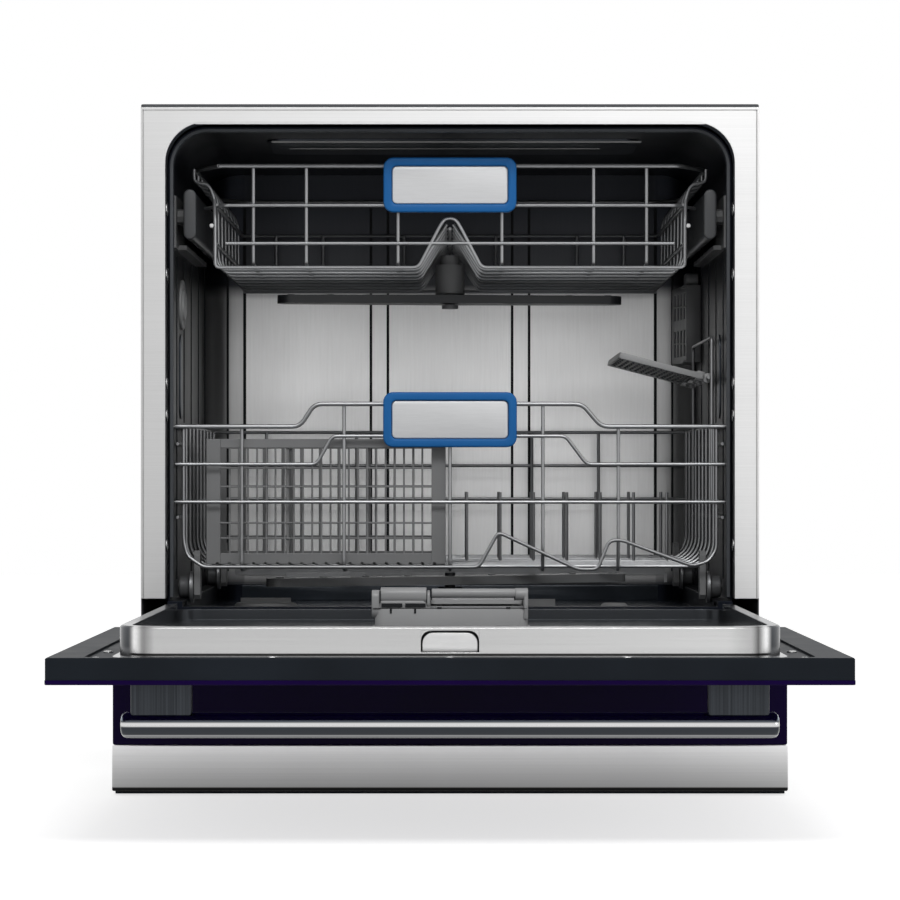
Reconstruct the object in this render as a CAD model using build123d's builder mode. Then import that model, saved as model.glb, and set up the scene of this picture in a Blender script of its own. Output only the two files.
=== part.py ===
from build123d import *
import os
from math import cos, radians, sin

os.makedirs("parts", exist_ok=True)

# A compact built-in dishwasher, in millimetres, with its door open and both racks in.
# X runs to the right, Y into the cabinet from its front plane, Z up from the floor.

# Cabinet
cabinet_width = 547.0
cabinet_height = 609.0
cabinet_depth = 472.0
panel = 1.0
cover_thickness = 2.7
frame_plate = 2.0
leg_width = 21.5
frame_foot = 171.5
collar_depth = 21.0
collar_wall = 1.2
mouth_drop = 16.0
mouth_top = cabinet_height - mouth_drop
mouth_radius = 36.0
half_cabinet = cabinet_width / 2
cover_bottom = cabinet_height - cover_thickness
side_inner = half_cabinet - panel
mouth_half = half_cabinet - leg_width
fixing_hole_radius = 2.5
fixing_low = 205.0
fixing_high = mouth_top - 48.0
fixing_depth = 11.0

# Tub
tub_wall = 1.0
tub_half = mouth_half - 2.0
tub_front = collar_depth
rear_space = 17.0
tub_back = cabinet_depth - rear_space
tub_top = mouth_top - 3.0
tub_corner = 40.0
track = 169.0
track_width = 13.0
track_inner = tub_half - track_width
pan_floor = 152.0
pan_front = 25.0
pan_back = tub_back - 9.0
pan_corner = 30.0
sill_top = 164.0
sill_front = 2.0
gasket_inner = 3.0
gasket_front = 22.0
gasket_depth = 11.5
soft_gap = 0.3

# Base
foot_radius = 16.0
foot_pad = 6.0
foot_stem = 4.0
foot_boss = 9.0
foot_inset_x = 34.0
foot_front = 32.0
foot_back = cabinet_depth - foot_front
tray_floor = 12.0
tray_wall = 2.0
tray_rim = 60.0
front_wall_top = 122.0
rear_panel_foot = 60.0

# Door, drawn open
door_overhang = 24.0
door_width = cabinet_width + 2 * door_overhang
door_near = -2.0
door_length = 470.0
door_far = door_near - door_length
door_inner = 146.6
door_thickness = 20.0
glass_thickness = 3.5
glass_overhang = 0.5
door_border = 27.0
door_far_border = 8.0
door_step = 2.0
door_inset = tub_half - 10.0
pivot_y = -8.0
pivot_z = 140.6
glass_inner = door_inner - door_thickness + glass_thickness
step_z = door_inner - door_step

# Hinges
ear_radius = 8.0
ear_thickness = 3.0
ear_inner = half_cabinet - 11.5
arm_thickness = 5.5
arm_length = 90.0
pin_radius = 4.0
pin_head = 6.0
pin_head_thickness = 1.8
running_gap = 0.05
side_gap = 0.5
notch_depth = 16.0

# Door liner
liner_half = tub_half - 3.5
liner_near = -38.0
liner_far = door_far + 14.0
liner_corner = 31.0
liner_wall = 1.0
liner_rim = 9.5
liner_floor = 155.0
liner_flange = 5.5
near_rim = 164.0
latch_width = 43.0
latch_height = 16.0
latch_low = 150.0

# Handle
handle_radius = 9.7
handle_length = door_width - 104.0
handle_y = door_far + 42.0
handle_drop = 32.4
post_outer = handle_length / 2 - 7.5
post_width = 45.5
post_inner = post_outer - post_width
post_thickness = 12.0

# Fascia
fascia_front = -22.0
fascia_half = door_width / 2 - 1.5
fascia_top = 124.0
strip_top = 44.0
strip_foot = 3.6
strip_thickness = 5.0
carrier_wall = 3.0

# Dispenser
dispenser_left = -64.0
dispenser_right = 66.0
dispenser_near = -180.0
dispenser_far = -280.0
dispenser_base = 134.0
dispenser_flange = 2.0
dispenser_margin = 5.0
rinse_right = -18.0
rinse_top = 181.0
cup_top = 176.0
cup_floor = 158.0
cup_margin = 8.0
lid_length = 46.0
lid_thickness = 3.7
lid_gap = 0.3
rinse_cap_radius = 14.0
rinse_neck_radius = 10.0

# Racks
rim_wire = 4.0
fence_wire = 3.4
weld = 0.3
step = fence_wire - weld
handle_plate_width = 120.0
handle_plate_height = 49.5
handle_border = 7.5
handle_corner = 9.0
handle_thickness = 7.8
lower_front = 48.0
lower_back = tub_back - 25.0
lower_half = tub_half - 7.5
lower_rim = 324.5
lower_rim_raised = 344.8
lower_second = 290.6
lower_second_raised = 316.0
lower_third = 256.6
lower_floor = 198.0
lower_handle_low = 305.8
wheel_tread = 10.2
wheel_boss = 7.0
wheel_clear = 0.3
wheel_front = 70.0
wheel_back = lower_back - 30.0
wheel_outer = tub_half - 4.5
tread_width = 9.0
boss_width = 4.5
wheel_axle = 3.0
clip_thickness = 5.5
upper_front = 62.0
upper_back = tub_back - 20.0
upper_half = tub_half - 38.4
upper_rim_half = upper_half + 22.4
upper_rim = mouth_top - 32.6
upper_shoulder = upper_rim - 15.4
upper_second = upper_rim - 34.7
upper_third = upper_rim - 70.1
upper_floor = upper_rim - 91.8
upper_handle_low = upper_rim - 42.6
ridge_half = 28.5
ridge_top = upper_floor + 44.4

# Upper rack rails and their wall rollers
rail_height = 44.0
rail_high = upper_rim - 23.4
rail_low = rail_high - rail_height
rail_outer = tub_half - 11.0
rail_inner = rail_outer - 10.5
rail_lip = 2.0
rail_web = 1.5
rail_front = 47.0
rail_back = upper_back - 7.0
roller_gap = 0.3
roller_width = 7.0
roller_axle = 4.0
roller_front = 72.0
roller_back = 126.0
ledge_low = rail_low - 7.0
ledge_depth = 10.0
ledge_front = 82.0
ledge_back = tub_back - 141.0

# Water system
arm_centre_y = tub_back - 210.0
lower_arm_radius = tub_half - 62.0
lower_arm_low = 176.0
spray_arm_thickness = 8.0
upper_arm_radius = tub_half - 84.0
upper_arm_low = upper_floor - 23.1
spindle_radius = 5.0
feed_radius = 9.0
feed_mouth_radius = feed_radius + 2.0
feed_z = upper_floor + 14.4
filter_x = 70.0
filter_y = arm_centre_y - 95.0
filter_radius = 34.0
sump_radius = 58.0
sump_side_radius = 43.0
sump_floor = 70.0
sump_wall = 3.0
inlet_radius = 13.2
drain_radius = 10.0
salt_x = 80.0 - tub_half
salt_y = 120.0
salt_neck = 24.0
salt_cap_radius = 29.0
float_x = tub_half - 100.0
float_y = 90.0

# Basket, cup shelf and tines
basket_length = 216.0
basket_left = 22.5 - lower_half
basket_right = basket_left + basket_length
basket_front = 56.0
basket_back = 136.0
basket_floor = 200.4
basket_top = 313.5
basket_wall = 2.5
basket_border = 13.0
shelf_post_x = lower_half - step
shelf_hinge_x = shelf_post_x - step
shelf_hinge_z = (lower_rim + upper_arm_low) / 2 - 15.0
shelf_reach = 92.0
shelf_front = 100.0
shelf_back = lower_back - 130.0
shelf_tilt = 15.0
shelf_rim = 7.0
post_top = shelf_hinge_z + 37.0
tine_height = 66.0
tine_left = 10.0
tine_right = lower_half - 28.5
tine_count = 7
tine_wire = 3.0
side_wire_pitch = (lower_back - 48 - lower_front - 40) / 5
rear_tines_y = lower_front + 40 + side_wire_pitch * 4 - 5.2
front_tines_y = lower_front + 40 + side_wire_pitch * 2 + 26.4


def facing(y):
    """A drawing plane seen from the front at depth y: X to the right, Z up."""
    return Plane(origin=(0, y, 0), x_dir=(1, 0, 0), z_dir=(0, -1, 0))


def block(low, high, mode=Mode.ADD):
    """A box between two corners."""
    size = [b - a for a, b in zip(low, high)]
    centre = [(a + b) / 2 for a, b in zip(low, high)]
    with Locations(tuple(centre)):
        Box(*size, mode=mode)


def bar_x(x0, x1, y, z, radius, mode=Mode.ADD):
    """A round bar or hole along X."""
    with BuildSketch(Plane.YZ.offset(x0)) as section:
        with Locations((y, z)):
            Circle(radius)
    extrude(section.sketch, amount=x1 - x0, mode=mode)


def bar_y(y0, y1, x, z, radius, mode=Mode.ADD):
    """A round bar or hole along Y."""
    with BuildSketch(facing(y0)) as section:
        with Locations((x, z)):
            Circle(radius)
    extrude(section.sketch, amount=y0 - y1, mode=mode)


def bar_z(z0, z1, x, y, radius, mode=Mode.ADD):
    """A round bar or hole along Z."""
    with BuildSketch(Plane.XY.offset(z0)) as section:
        with Locations((x, y)):
            Circle(radius)
    extrude(section.sketch, amount=z1 - z0, mode=mode)


def stud_x(x0, x1, y, z, radius, mode=Mode.ADD):
    """An eight-sided stud along X."""
    with BuildSketch(Plane.YZ.offset(x0)) as section:
        with Locations((y, z)):
            RegularPolygon(radius, 8)
    extrude(section.sketch, amount=x1 - x0, mode=mode)


def stud_z(z0, z1, x, y, radius, mode=Mode.ADD):
    """An eight-sided stud along Z."""
    with BuildSketch(Plane.XY.offset(z0)) as section:
        with Locations((x, y)):
            RegularPolygon(radius, 8)
    extrude(section.sketch, amount=z1 - z0, mode=mode)


def rounded_plate(left, right, near, far, low, high, corner, mode=Mode.ADD):
    """A flat slab with four rounded corners, lying level."""
    with BuildSketch(Plane.XY.offset(low)) as section:
        with Locations(((left + right) / 2, (near + far) / 2)):
            RectangleRounded(right - left, far - near, corner)
    extrude(section.sketch, amount=high - low, mode=mode)


def doorway(front, back, half_width, top, foot, corner, mode=Mode.ADD):
    """A passage along Y, rounded at its head and square at its foot."""
    with BuildSketch(facing(front)) as section:
        with Locations((0, (top + foot) / 2)):
            Rectangle(2 * half_width, top - foot)
        fillet(section.vertices().group_by(Axis.Y)[-1], corner)
    extrude(section.sketch, amount=front - back, mode=mode)


def hull_slab(circles, low, high, mode=Mode.ADD):
    """A level slab whose outline is stretched round some circles (x, y, radius)."""
    with BuildSketch() as outline:
        with BuildLine():
            for x, y, radius in circles:
                CenterArc((x, y), radius, 0, 360)
        make_hull()
    extrude(Plane.XY.offset(low) * outline.sketch, amount=high - low, mode=mode)


def wire(points, diameter):
    """One four-sided wire through the given points, mitred at its bends."""
    with BuildLine() as path:
        Polyline(*points)
    with BuildSketch(Plane(origin=path.line @ 0, z_dir=path.line % 0)) as section:
        Rectangle(diameter, diameter)
    with BuildPart() as piece:
        sweep(sections=section.sketch, path=path.line, transition=Transition.RIGHT)
    return piece.part


def spread(low, high, count):
    """Evenly spaced places from low to high."""
    return [low + (high - low) * i / (count - 1) for i in range(count)]


# Front frame: a plate with a collar that turns into the tub, open at its foot
with BuildPart() as front_frame:
    block((-half_cabinet, 0, frame_foot), (half_cabinet, frame_plate, cover_bottom))
    doorway(0, collar_depth, mouth_half + collar_wall, mouth_top + collar_wall, frame_foot,
            mouth_radius + collar_wall)
    doorway(-1, collar_depth + 1, mouth_half, mouth_top, frame_foot - 1, mouth_radius, Mode.SUBTRACT)
    for height in (fixing_low, fixing_high):
        bar_x(-half_cabinet, half_cabinet, fixing_depth, height, fixing_hole_radius, Mode.SUBTRACT)
    block((-latch_width / 2, fixing_depth - 5, mouth_top - 1),
          (latch_width / 2, fixing_depth + 5, mouth_top + collar_wall + 1), Mode.SUBTRACT)
front_frame.part.label = "front_frame"
export_step(front_frame.part, "parts/front_frame.step")

# Top cover
with BuildPart() as top_cover:
    block((-half_cabinet, 0, cover_bottom), (half_cabinet, cabinet_depth, cabinet_height))
    fillet(top_cover.edges().filter_by(Axis.Z), 3)
    chamfer(top_cover.faces().sort_by(Axis.Z)[-1].edges(), 0.6)
top_cover.part.label = "top_cover"
export_step(top_cover.part, "parts/top_cover.step")

# Side panels, each with a pressed stiffening field and a row of vents low at the back
panel_low = tray_floor
panel_back = cabinet_depth - panel
with BuildPart() as side_panels:
    block((side_inner, frame_plate, panel_low), (half_cabinet, panel_back, cover_bottom))
    field_low = frame_foot + 40
    field_high = cover_bottom - 60
    field_front = frame_plate + 60
    field_back = panel_back - 60
    with BuildSketch(Plane.YZ.offset(side_inner)) as field:
        with Locations(((field_front + field_back) / 2, (field_low + field_high) / 2)):
            RectangleRounded(field_back - field_front, field_high - field_low, 20)
    extrude(field.sketch, amount=panel * 0.4, mode=Mode.SUBTRACT)
    with BuildSketch(Plane.YZ.offset(side_inner)) as vents:
        with Locations((panel_back - 70, panel_low + 60)):
            with GridLocations(14, 0, 6, 1):
                Rectangle(5, 34)
    extrude(vents.sketch, amount=panel, mode=Mode.SUBTRACT)
    mirror(about=Plane.YZ)
side_panels.part.label = "side_panels"
export_step(side_panels.part, "parts/side_panels.step")

# Rear panel with pressed ribs and the hole for the mains cable
cable_hole_radius = 8.0
cable_x = -200.0
cable_z = 90.0
with BuildPart() as rear_panel:
    block((-side_inner, panel_back, rear_panel_foot), (side_inner, cabinet_depth, cover_bottom))
    for x in (-130, 0, 130):
        block((x - 12, panel_back - 1, rear_panel_foot + 90), (x + 12, panel_back + panel * 0.4, cover_bottom - 50),
              Mode.SUBTRACT)
    bar_y(panel_back - 1, cabinet_depth + 1, cable_x, cable_z, cable_hole_radius, Mode.SUBTRACT)
rear_panel.part.label = "rear_panel"
export_step(rear_panel.part, "parts/rear_panel.step")

# Tub: one pressed room with tracks for the lower rack's wheels beside a deeper floor
back_wall = tub_back + tub_wall
hub_y = arm_centre_y
sump_outline = [(0, hub_y, sump_radius), (filter_x, filter_y, sump_side_radius)]
vent_y = tub_back - 77.0
vent_z = rail_low - 66.0
vent_half_length = 35.0
vent_half_height = 37.0
cap_y = 143.0
cap_z = rail_low - 54.0
cap_radius = 23.0
with BuildPart() as tub_room:
    rounded_plate(-tub_half, tub_half, tub_front - 2 * tub_corner, tub_back, track, tub_top + 1, tub_corner)
    doorway(tub_front - 1, tub_back + 1, tub_half, tub_top, track - 1, mouth_radius - 2, Mode.INTERSECT)
    rounded_plate(-track_inner, track_inner, pan_front, pan_back, pan_floor, track + 1, pan_corner)
    block((-track_inner, sill_front - 1, sill_top), (track_inner, pan_front + pan_corner, track + 1))
with BuildPart() as tub:
    rounded_plate(-tub_half - tub_wall, tub_half + tub_wall, tub_front - 2 * tub_corner, back_wall,
                  track - tub_wall, tub_top + tub_wall + 1, tub_corner + tub_wall)
    doorway(tub_front, back_wall + 1, tub_half + tub_wall, tub_top + tub_wall, track - tub_wall - 1,
            mouth_radius - 1, Mode.INTERSECT)
    rounded_plate(-track_inner - tub_wall, track_inner + tub_wall, pan_front - tub_wall,
                  pan_back + tub_wall, pan_floor - tub_wall, track, pan_corner + tub_wall)
    block((-tub_half, sill_front, sill_top - tub_wall), (tub_half, pan_front + pan_corner, sill_top))
    for side in (-1, 1):
        block((min(side * track_inner, side * tub_half), sill_front, sill_top - tub_wall),
              (max(side * track_inner, side * tub_half), tub_front, track))
    block((-tub_half, sill_front, front_wall_top + 3), (tub_half, sill_front + tub_wall, sill_top))
    add(tub_room.part, mode=Mode.SUBTRACT)
    hull_slab(sump_outline, pan_floor - 5, pan_floor + 1, Mode.SUBTRACT)
    bar_z(pan_floor - 5, pan_floor + 1, salt_x, salt_y, salt_neck + 2, Mode.SUBTRACT)
    bar_z(pan_floor - 5, pan_floor + 1, float_x, float_y, 5, Mode.SUBTRACT)
    bar_y(tub_back - 1, back_wall + 1, 0, feed_z, feed_radius, Mode.SUBTRACT)
    block((tub_half - 1, vent_y - 25, vent_z - 27), (tub_half + 5, vent_y + 25, vent_z + 27), Mode.SUBTRACT)
    bar_x(-tub_half - 5, -tub_half + 1, cap_y, cap_z, cap_radius - 5, Mode.SUBTRACT)
tub.part.label = "tub"
export_step(tub.part, "parts/tub.step")

# Gasket round the mouth of the tub
with BuildPart() as tub_gasket:
    gasket_back = gasket_front + gasket_depth
    doorway(gasket_front, gasket_back, tub_half - soft_gap, tub_top - soft_gap, track + 3, mouth_radius - 2.3)
    doorway(gasket_front - 1, gasket_back + 1, tub_half - gasket_inner, tub_top - gasket_inner, track + 2,
            mouth_radius - 5, Mode.SUBTRACT)
tub_gasket.part.label = "tub_gasket"
export_step(tub_gasket.part, "parts/tub_gasket.step")

valve_x = 200.0
valve_z = 38.0
drain_x = 110.0
drain_z = 46.0

# Base tray: the drip tray that carries pumps and hinges, with a tall front wall
with BuildPart() as base_tray:
    block((-side_inner, 0, tray_floor), (side_inner, panel_back, tray_rim))
    block((-side_inner, 0, tray_floor), (side_inner, tray_wall, front_wall_top))
    block((-side_inner + tray_wall, tray_wall, tray_floor + tray_wall),
          (side_inner - tray_wall, panel_back - tray_wall, tray_rim + 1), Mode.SUBTRACT)
    for y in (foot_front + 176, foot_back - 95):
        block((-side_inner + tray_wall, y - 3, tray_floor), (side_inner - tray_wall, y + 3, tray_floor + 8))
    for x in (-half_cabinet + foot_inset_x, half_cabinet - foot_inset_x):
        for y in (foot_front, foot_back):
            block((x - foot_boss, y - foot_boss, tray_floor), (x + foot_boss, y + foot_boss, tray_floor + 10))
            bar_z(tray_floor - 1, tray_floor + 11, x, y, foot_stem + running_gap, Mode.SUBTRACT)
    bar_y(panel_back - 5, panel_back + 1, valve_x, valve_z, inlet_radius + 2, Mode.SUBTRACT)
    bar_y(panel_back - 5, panel_back + 1, drain_x, drain_z, drain_radius + 2, Mode.SUBTRACT)
base_tray.part.label = "base_tray"
export_step(base_tray.part, "parts/base_tray.step")

# Levelling feet: a round pad on a threaded stem
with BuildPart() as levelling_feet:
    for x in (-half_cabinet + foot_inset_x, half_cabinet - foot_inset_x):
        for y in (foot_front, foot_back):
            bar_z(0, foot_pad, x, y, foot_radius)
            with Locations((x, y, foot_pad + 1.5)):
                Box(foot_radius, foot_radius, 3)
            stud_z(foot_pad, tray_floor + 14, x, y, foot_stem)
levelling_feet.part.label = "levelling_feet"
export_step(levelling_feet.part, "parts/levelling_feet.step")

# Fascia carrier: a moulded tray behind the lower glass
carrier_front = fascia_front + glass_thickness
with BuildPart() as fascia_carrier:
    block((-fascia_half + 2, carrier_front, 1), (fascia_half - 2, 0, front_wall_top))
    block((-fascia_half + 2 + carrier_wall, carrier_front + carrier_wall, 1 + carrier_wall),
          (fascia_half - 2 - carrier_wall, 1, front_wall_top - carrier_wall), Mode.SUBTRACT)
    for x in (-180, -60, 60, 180):
        block((x - 1, carrier_front, 1), (x + 1, 0, front_wall_top))
fascia_carrier.part.label = "fascia_carrier"
export_step(fascia_carrier.part, "parts/fascia_carrier.step")

# Lower fascia glass
with BuildPart() as fascia_glass:
    block((-fascia_half, fascia_front, strip_top + 0.3), (fascia_half, carrier_front, fascia_top))
    fillet(fascia_glass.edges().filter_by(Axis.Y), 1.5)
    chamfer(fascia_glass.faces().sort_by(Axis.Y)[0].edges(), 0.5)
fascia_glass.part.label = "fascia_glass"
export_step(fascia_glass.part, "parts/fascia_glass.step")

# Kick strip: a folded steel strip below the glass
with BuildPart() as kick_strip:
    block((-fascia_half - 0.5, carrier_front - strip_thickness, strip_foot), (fascia_half + 0.5, carrier_front, strip_top))
    fillet(kick_strip.edges().filter_by(Axis.Y), 1.5)
    fillet(kick_strip.faces().sort_by(Axis.Y)[0].edges(), 1.0)
kick_strip.part.label = "kick_strip"
export_step(kick_strip.part, "parts/kick_strip.step")

# Hinge brackets: an ear for the pin on a plate that stands on the side panel
ear_outer = ear_inner + ear_thickness
with BuildPart() as hinge_brackets:
    with BuildSketch(Plane.YZ.offset(ear_inner)) as ear:
        with Locations((pivot_y, pivot_z)):
            Circle(ear_radius)
        with Locations(((pivot_y + 60) / 2, pivot_z)):
            Rectangle(60 - pivot_y, 2 * ear_radius)
        with Locations((37, pivot_z - 15)):
            Rectangle(46, 46)
        with Locations((pivot_y, pivot_z)):
            Circle(pin_radius + running_gap, mode=Mode.SUBTRACT)
    extrude(ear.sketch, amount=ear_thickness)
    block((ear_outer, 14, pivot_z - 38), (side_inner, 60, pivot_z - 35))
    block((ear_outer, 57, pivot_z - 38), (side_inner, 60, pivot_z + ear_radius))
    mirror(about=Plane.YZ)
hinge_brackets.part.label = "hinge_brackets"
export_step(hinge_brackets.part, "parts/hinge_brackets.step")

# Hinge arms on the door
arm_outer = ear_inner - side_gap
arm_inner = arm_outer - arm_thickness
with BuildPart() as hinge_arms:
    with BuildSketch(Plane.YZ.offset(arm_inner)) as arm:
        with Locations((pivot_y, pivot_z)):
            Circle(ear_radius)
        with Locations((pivot_y - arm_length / 2, (pivot_z - ear_radius + step_z) / 2)):
            Rectangle(arm_length, step_z - pivot_z + ear_radius)
        with Locations((pivot_y, pivot_z)):
            Circle(pin_radius + running_gap, mode=Mode.SUBTRACT)
    extrude(arm.sketch, amount=arm_thickness)
    mirror(about=Plane.YZ)
hinge_arms.part.label = "hinge_arms"
export_step(hinge_arms.part, "parts/hinge_arms.step")

# Hinge pins with a head outside the ear
with BuildPart() as hinge_pins:
    bar_x(arm_inner, ear_outer + 0.1, pivot_y, pivot_z, pin_radius)
    stud_x(ear_outer + 0.1, ear_outer + 0.1 + pin_head_thickness, pivot_y, pivot_z, pin_head)
    mirror(about=Plane.YZ)
hinge_pins.part.label = "hinge_pins"
export_step(hinge_pins.part, "parts/hinge_pins.step")

# Door frame: a moulded border with a step for the liner and notches for the hinges
half_door = door_width / 2
frame_half = half_door - glass_overhang
frame_far = door_far + glass_overhang
with BuildPart() as door_frame:
    block((-frame_half, frame_far, glass_inner), (frame_half, door_near, door_inner))
    chamfer(door_frame.faces().sort_by(Axis.Z)[-1].edges(), 0.8)
    rounded_plate(-frame_half + door_border, frame_half - door_border, door_far + door_far_border,
                  door_near - door_border, step_z, door_inner + 1, 12, Mode.SUBTRACT)
    rounded_plate(-door_inset, door_inset, liner_far + 6, liner_near - 6, glass_inner - 1, step_z + 1, 20,
                  Mode.SUBTRACT)
    for side in (-1, 1):
        low_x = min(side * (arm_inner - side_gap), side * (ear_outer + 5))
        high_x = max(side * (arm_inner - side_gap), side * (ear_outer + 5))
        block((low_x, door_near - notch_depth, glass_inner), (high_x, door_near + 1, door_inner + 1),
              Mode.SUBTRACT)
        low_x = min(side * (arm_inner - side_gap), side * (arm_outer + side_gap))
        high_x = max(side * (arm_inner - side_gap), side * (arm_outer + side_gap))
        block((low_x, pivot_y - arm_length - 1, pivot_z - ear_radius - 0.2), (high_x, door_near, door_inner + 1),
              Mode.SUBTRACT)
door_frame.part.label = "door_frame"
export_step(door_frame.part, "parts/door_frame.step")

# Door glass
with BuildPart() as door_glass:
    block((-half_door, door_far, glass_inner - glass_thickness), (half_door, door_near, glass_inner))
    fillet(door_glass.edges().filter_by(Axis.Z), 1.5)
    chamfer(door_glass.faces().sort_by(Axis.Z)[0].edges(), 0.6)
door_glass.part.label = "door_glass"
export_step(door_glass.part, "parts/door_glass.step")

# Door liner: a pressed steel pan whose side rims are the lower rack's track
rim_edge = liner_half - liner_rim
well_far = liner_far + liner_rim
well_near = liner_near - liner_rim
well_corner = liner_corner - 10.0
near_land = well_near - well_corner
with BuildPart() as door_liner:
    rounded_plate(-liner_half - liner_flange, liner_half + liner_flange, liner_far - liner_flange,
                  liner_near + liner_flange, step_z, step_z + liner_wall, liner_corner + liner_flange)
    rounded_plate(-liner_half, liner_half, liner_far, liner_near, step_z, track, liner_corner)
    chamfer(door_liner.faces().sort_by(Axis.Z)[-1].edges(), 1.2)
    rounded_plate(-liner_half + liner_wall, liner_half - liner_wall, liner_far + liner_wall,
                  liner_near - liner_wall, step_z - 1, track - liner_wall, liner_corner - liner_wall,
                  Mode.SUBTRACT)
    rounded_plate(-rim_edge - liner_wall, rim_edge + liner_wall, well_far - liner_wall,
                  well_near + liner_wall, liner_floor - liner_wall, track - liner_wall / 2,
                  well_corner + liner_wall)
    block((-rim_edge, near_land, near_rim), (rim_edge, liner_near + 1, track + 1), Mode.SUBTRACT)
    block((-rim_edge, near_land, near_rim - liner_wall), (rim_edge, liner_near - liner_corner / 3, near_rim))
    block((liner_corner - liner_half, near_land, near_rim - liner_wall), (liner_half - liner_corner, liner_near, near_rim))
    rounded_plate(-rim_edge, rim_edge, well_far, well_near, liner_floor, track + 1, well_corner,
                  Mode.SUBTRACT)
    block((-latch_width / 2, liner_far - 1, latch_low), (latch_width / 2, liner_far + liner_wall + 1,
          latch_low + latch_height), Mode.SUBTRACT)
    rounded_plate(dispenser_left + dispenser_margin - 0.5, dispenser_right - dispenser_margin + 0.5,
                  dispenser_far + dispenser_margin - 0.5, dispenser_near - dispenser_margin + 0.5,
                  liner_floor - 2, liner_floor + 1, 6, Mode.SUBTRACT)
door_liner.part.label = "door_liner"
export_step(door_liner.part, "parts/door_liner.step")

# Screws that hold the liner
screw_radius = 2.8
screw_height = 1.8
with BuildPart() as liner_screws:
    for x in (-131, 0, 131):
        stud_z(step_z + liner_wall, step_z + liner_wall + screw_height, x, liner_far - liner_flange / 2,
               screw_radius - 0.3)
    for x in (-liner_half - 15.5, liner_half + 15.5):
        for y in (liner_far + 5, liner_far + 92):
            stud_z(step_z, step_z + screw_height, x, y, screw_radius + 0.5)
liner_screws.part.label = "liner_screws"
export_step(liner_screws.part, "parts/liner_screws.step")

# Handle bar with rounded ends
glass_face = glass_inner - glass_thickness
handle_z = glass_face - handle_drop
with BuildPart() as handle_bar:
    bar_x(-handle_length / 2, handle_length / 2, handle_y, handle_z, handle_radius)
    chamfer(handle_bar.edges().filter_by(GeomType.CIRCLE), 2)
handle_bar.part.label = "handle_bar"
export_step(handle_bar.part, "parts/handle_bar.step")

# Handle posts, hollowed to the bar
with BuildPart() as handle_posts:
    for side in (-1, 1):
        block((min(side * post_inner, side * post_outer), handle_y - post_thickness / 2, handle_z + 2),
              (max(side * post_inner, side * post_outer), handle_y + post_thickness / 2, glass_face))
    bar_x(-handle_length, handle_length, handle_y, handle_z, handle_radius + running_gap, Mode.SUBTRACT)
    fillet(handle_posts.edges().filter_by(Axis.Z), 2)
handle_posts.part.label = "handle_posts"
export_step(handle_posts.part, "parts/handle_posts.step")

# Latch: a sprung bolt in a housing behind the liner's front wall
bolt_thickness = 5.0
bolt_half = latch_width / 2 - 2.5
bolt_front = liner_far + liner_wall + 0.6
bolt_low = latch_low + 0.4
tail_half = 12.0
tail_thickness = 2.2
tail_back = liner_far + 53.0
with BuildPart() as latch_bolt:
    block((-bolt_half, bolt_front, bolt_low), (bolt_half, bolt_front + bolt_thickness, latch_low + latch_height - 2))
    block((-tail_half, bolt_front, bolt_low), (tail_half, tail_back, bolt_low + tail_thickness))
latch_bolt.part.label = "latch_bolt"
export_step(latch_bolt.part, "parts/latch_bolt.step")

housing_half = 24.0
housing_front = liner_far + 12.0
with BuildPart() as latch_housing:
    block((-housing_half, housing_front, glass_inner), (housing_half, housing_front + 56, liner_floor - liner_wall - 0.5))
    block((-tail_half - 0.4, housing_front - 1, bolt_low - 0.3), (tail_half + 0.4, tail_back + 8, liner_floor),
          Mode.SUBTRACT)
latch_housing.part.label = "latch_housing"
export_step(latch_housing.part, "parts/latch_housing.step")

# Control board behind the door glass
with BuildPart() as control_board:
    board_right = door_inset - 15
    block((board_right - 165, handle_y - 12, glass_inner), (board_right, handle_y + 45, glass_inner + 2))
    block((board_right - 150, handle_y - 5, glass_inner + 2), (board_right - 115, handle_y + 30, glass_inner + 9))
    block((board_right - 95, handle_y, glass_inner + 2), (board_right - 20, handle_y + 20, glass_inner + 6))
control_board.part.label = "control_board"
export_step(control_board.part, "parts/control_board.step")

# Dispenser: rinse-aid tank on the left, detergent cup on the right with rails for its lid
lid_left = rinse_right + 2.5
lid_right = dispenser_right - dispenser_margin - 2.5
lid_low = cup_top + lid_gap
body_left = dispenser_left + dispenser_margin
body_right = dispenser_right - dispenser_margin
body_near = dispenser_near - dispenser_margin
body_far = dispenser_far + dispenser_margin
lid_near = body_near - 1.0
cup_near = lid_near - 3.0
cup_far = lid_near - lid_length + 4.0
rinse_x = (body_left + rinse_right) / 2
rinse_y = (body_near + body_far) / 2
with BuildPart() as dispenser_body:
    rounded_plate(dispenser_left, dispenser_right, dispenser_far, dispenser_near, liner_floor,
                  liner_floor + dispenser_flange, 9)
    rounded_plate(body_left, body_right, body_far, body_near, dispenser_base, cup_top, 7)
    rounded_plate(body_left, rinse_right, body_far, body_near, liner_floor, rinse_top, 5)
    block((rinse_right - 1, body_far + 5, cup_top - 1), (lid_left - 0.2, body_near - 5, cup_top + lid_thickness))
    block((lid_right + 0.2, body_far + 5, cup_top - 1), (body_right, body_near - 5, cup_top + lid_thickness))
    rounded_plate(lid_left + cup_margin, lid_right - cup_margin, cup_far, cup_near, cup_floor, cup_top + 1, 5,
                  Mode.SUBTRACT)
    bar_z(rinse_top - 12, rinse_top + 1, rinse_x, rinse_y, rinse_neck_radius + 0.3, Mode.SUBTRACT)
dispenser_body.part.label = "dispenser_body"
export_step(dispenser_body.part, "parts/dispenser_body.step")

with BuildPart() as detergent_lid:
    rounded_plate(lid_left, lid_right, lid_near - lid_length, lid_near, lid_low, lid_low + lid_thickness, 3)
    with Locations(((lid_left + lid_right) / 2, lid_near - lid_length * 0.78, lid_low + lid_thickness + 1)):
        Box(30, 5, 2)
detergent_lid.part.label = "detergent_lid"
export_step(detergent_lid.part, "parts/detergent_lid.step")

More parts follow.
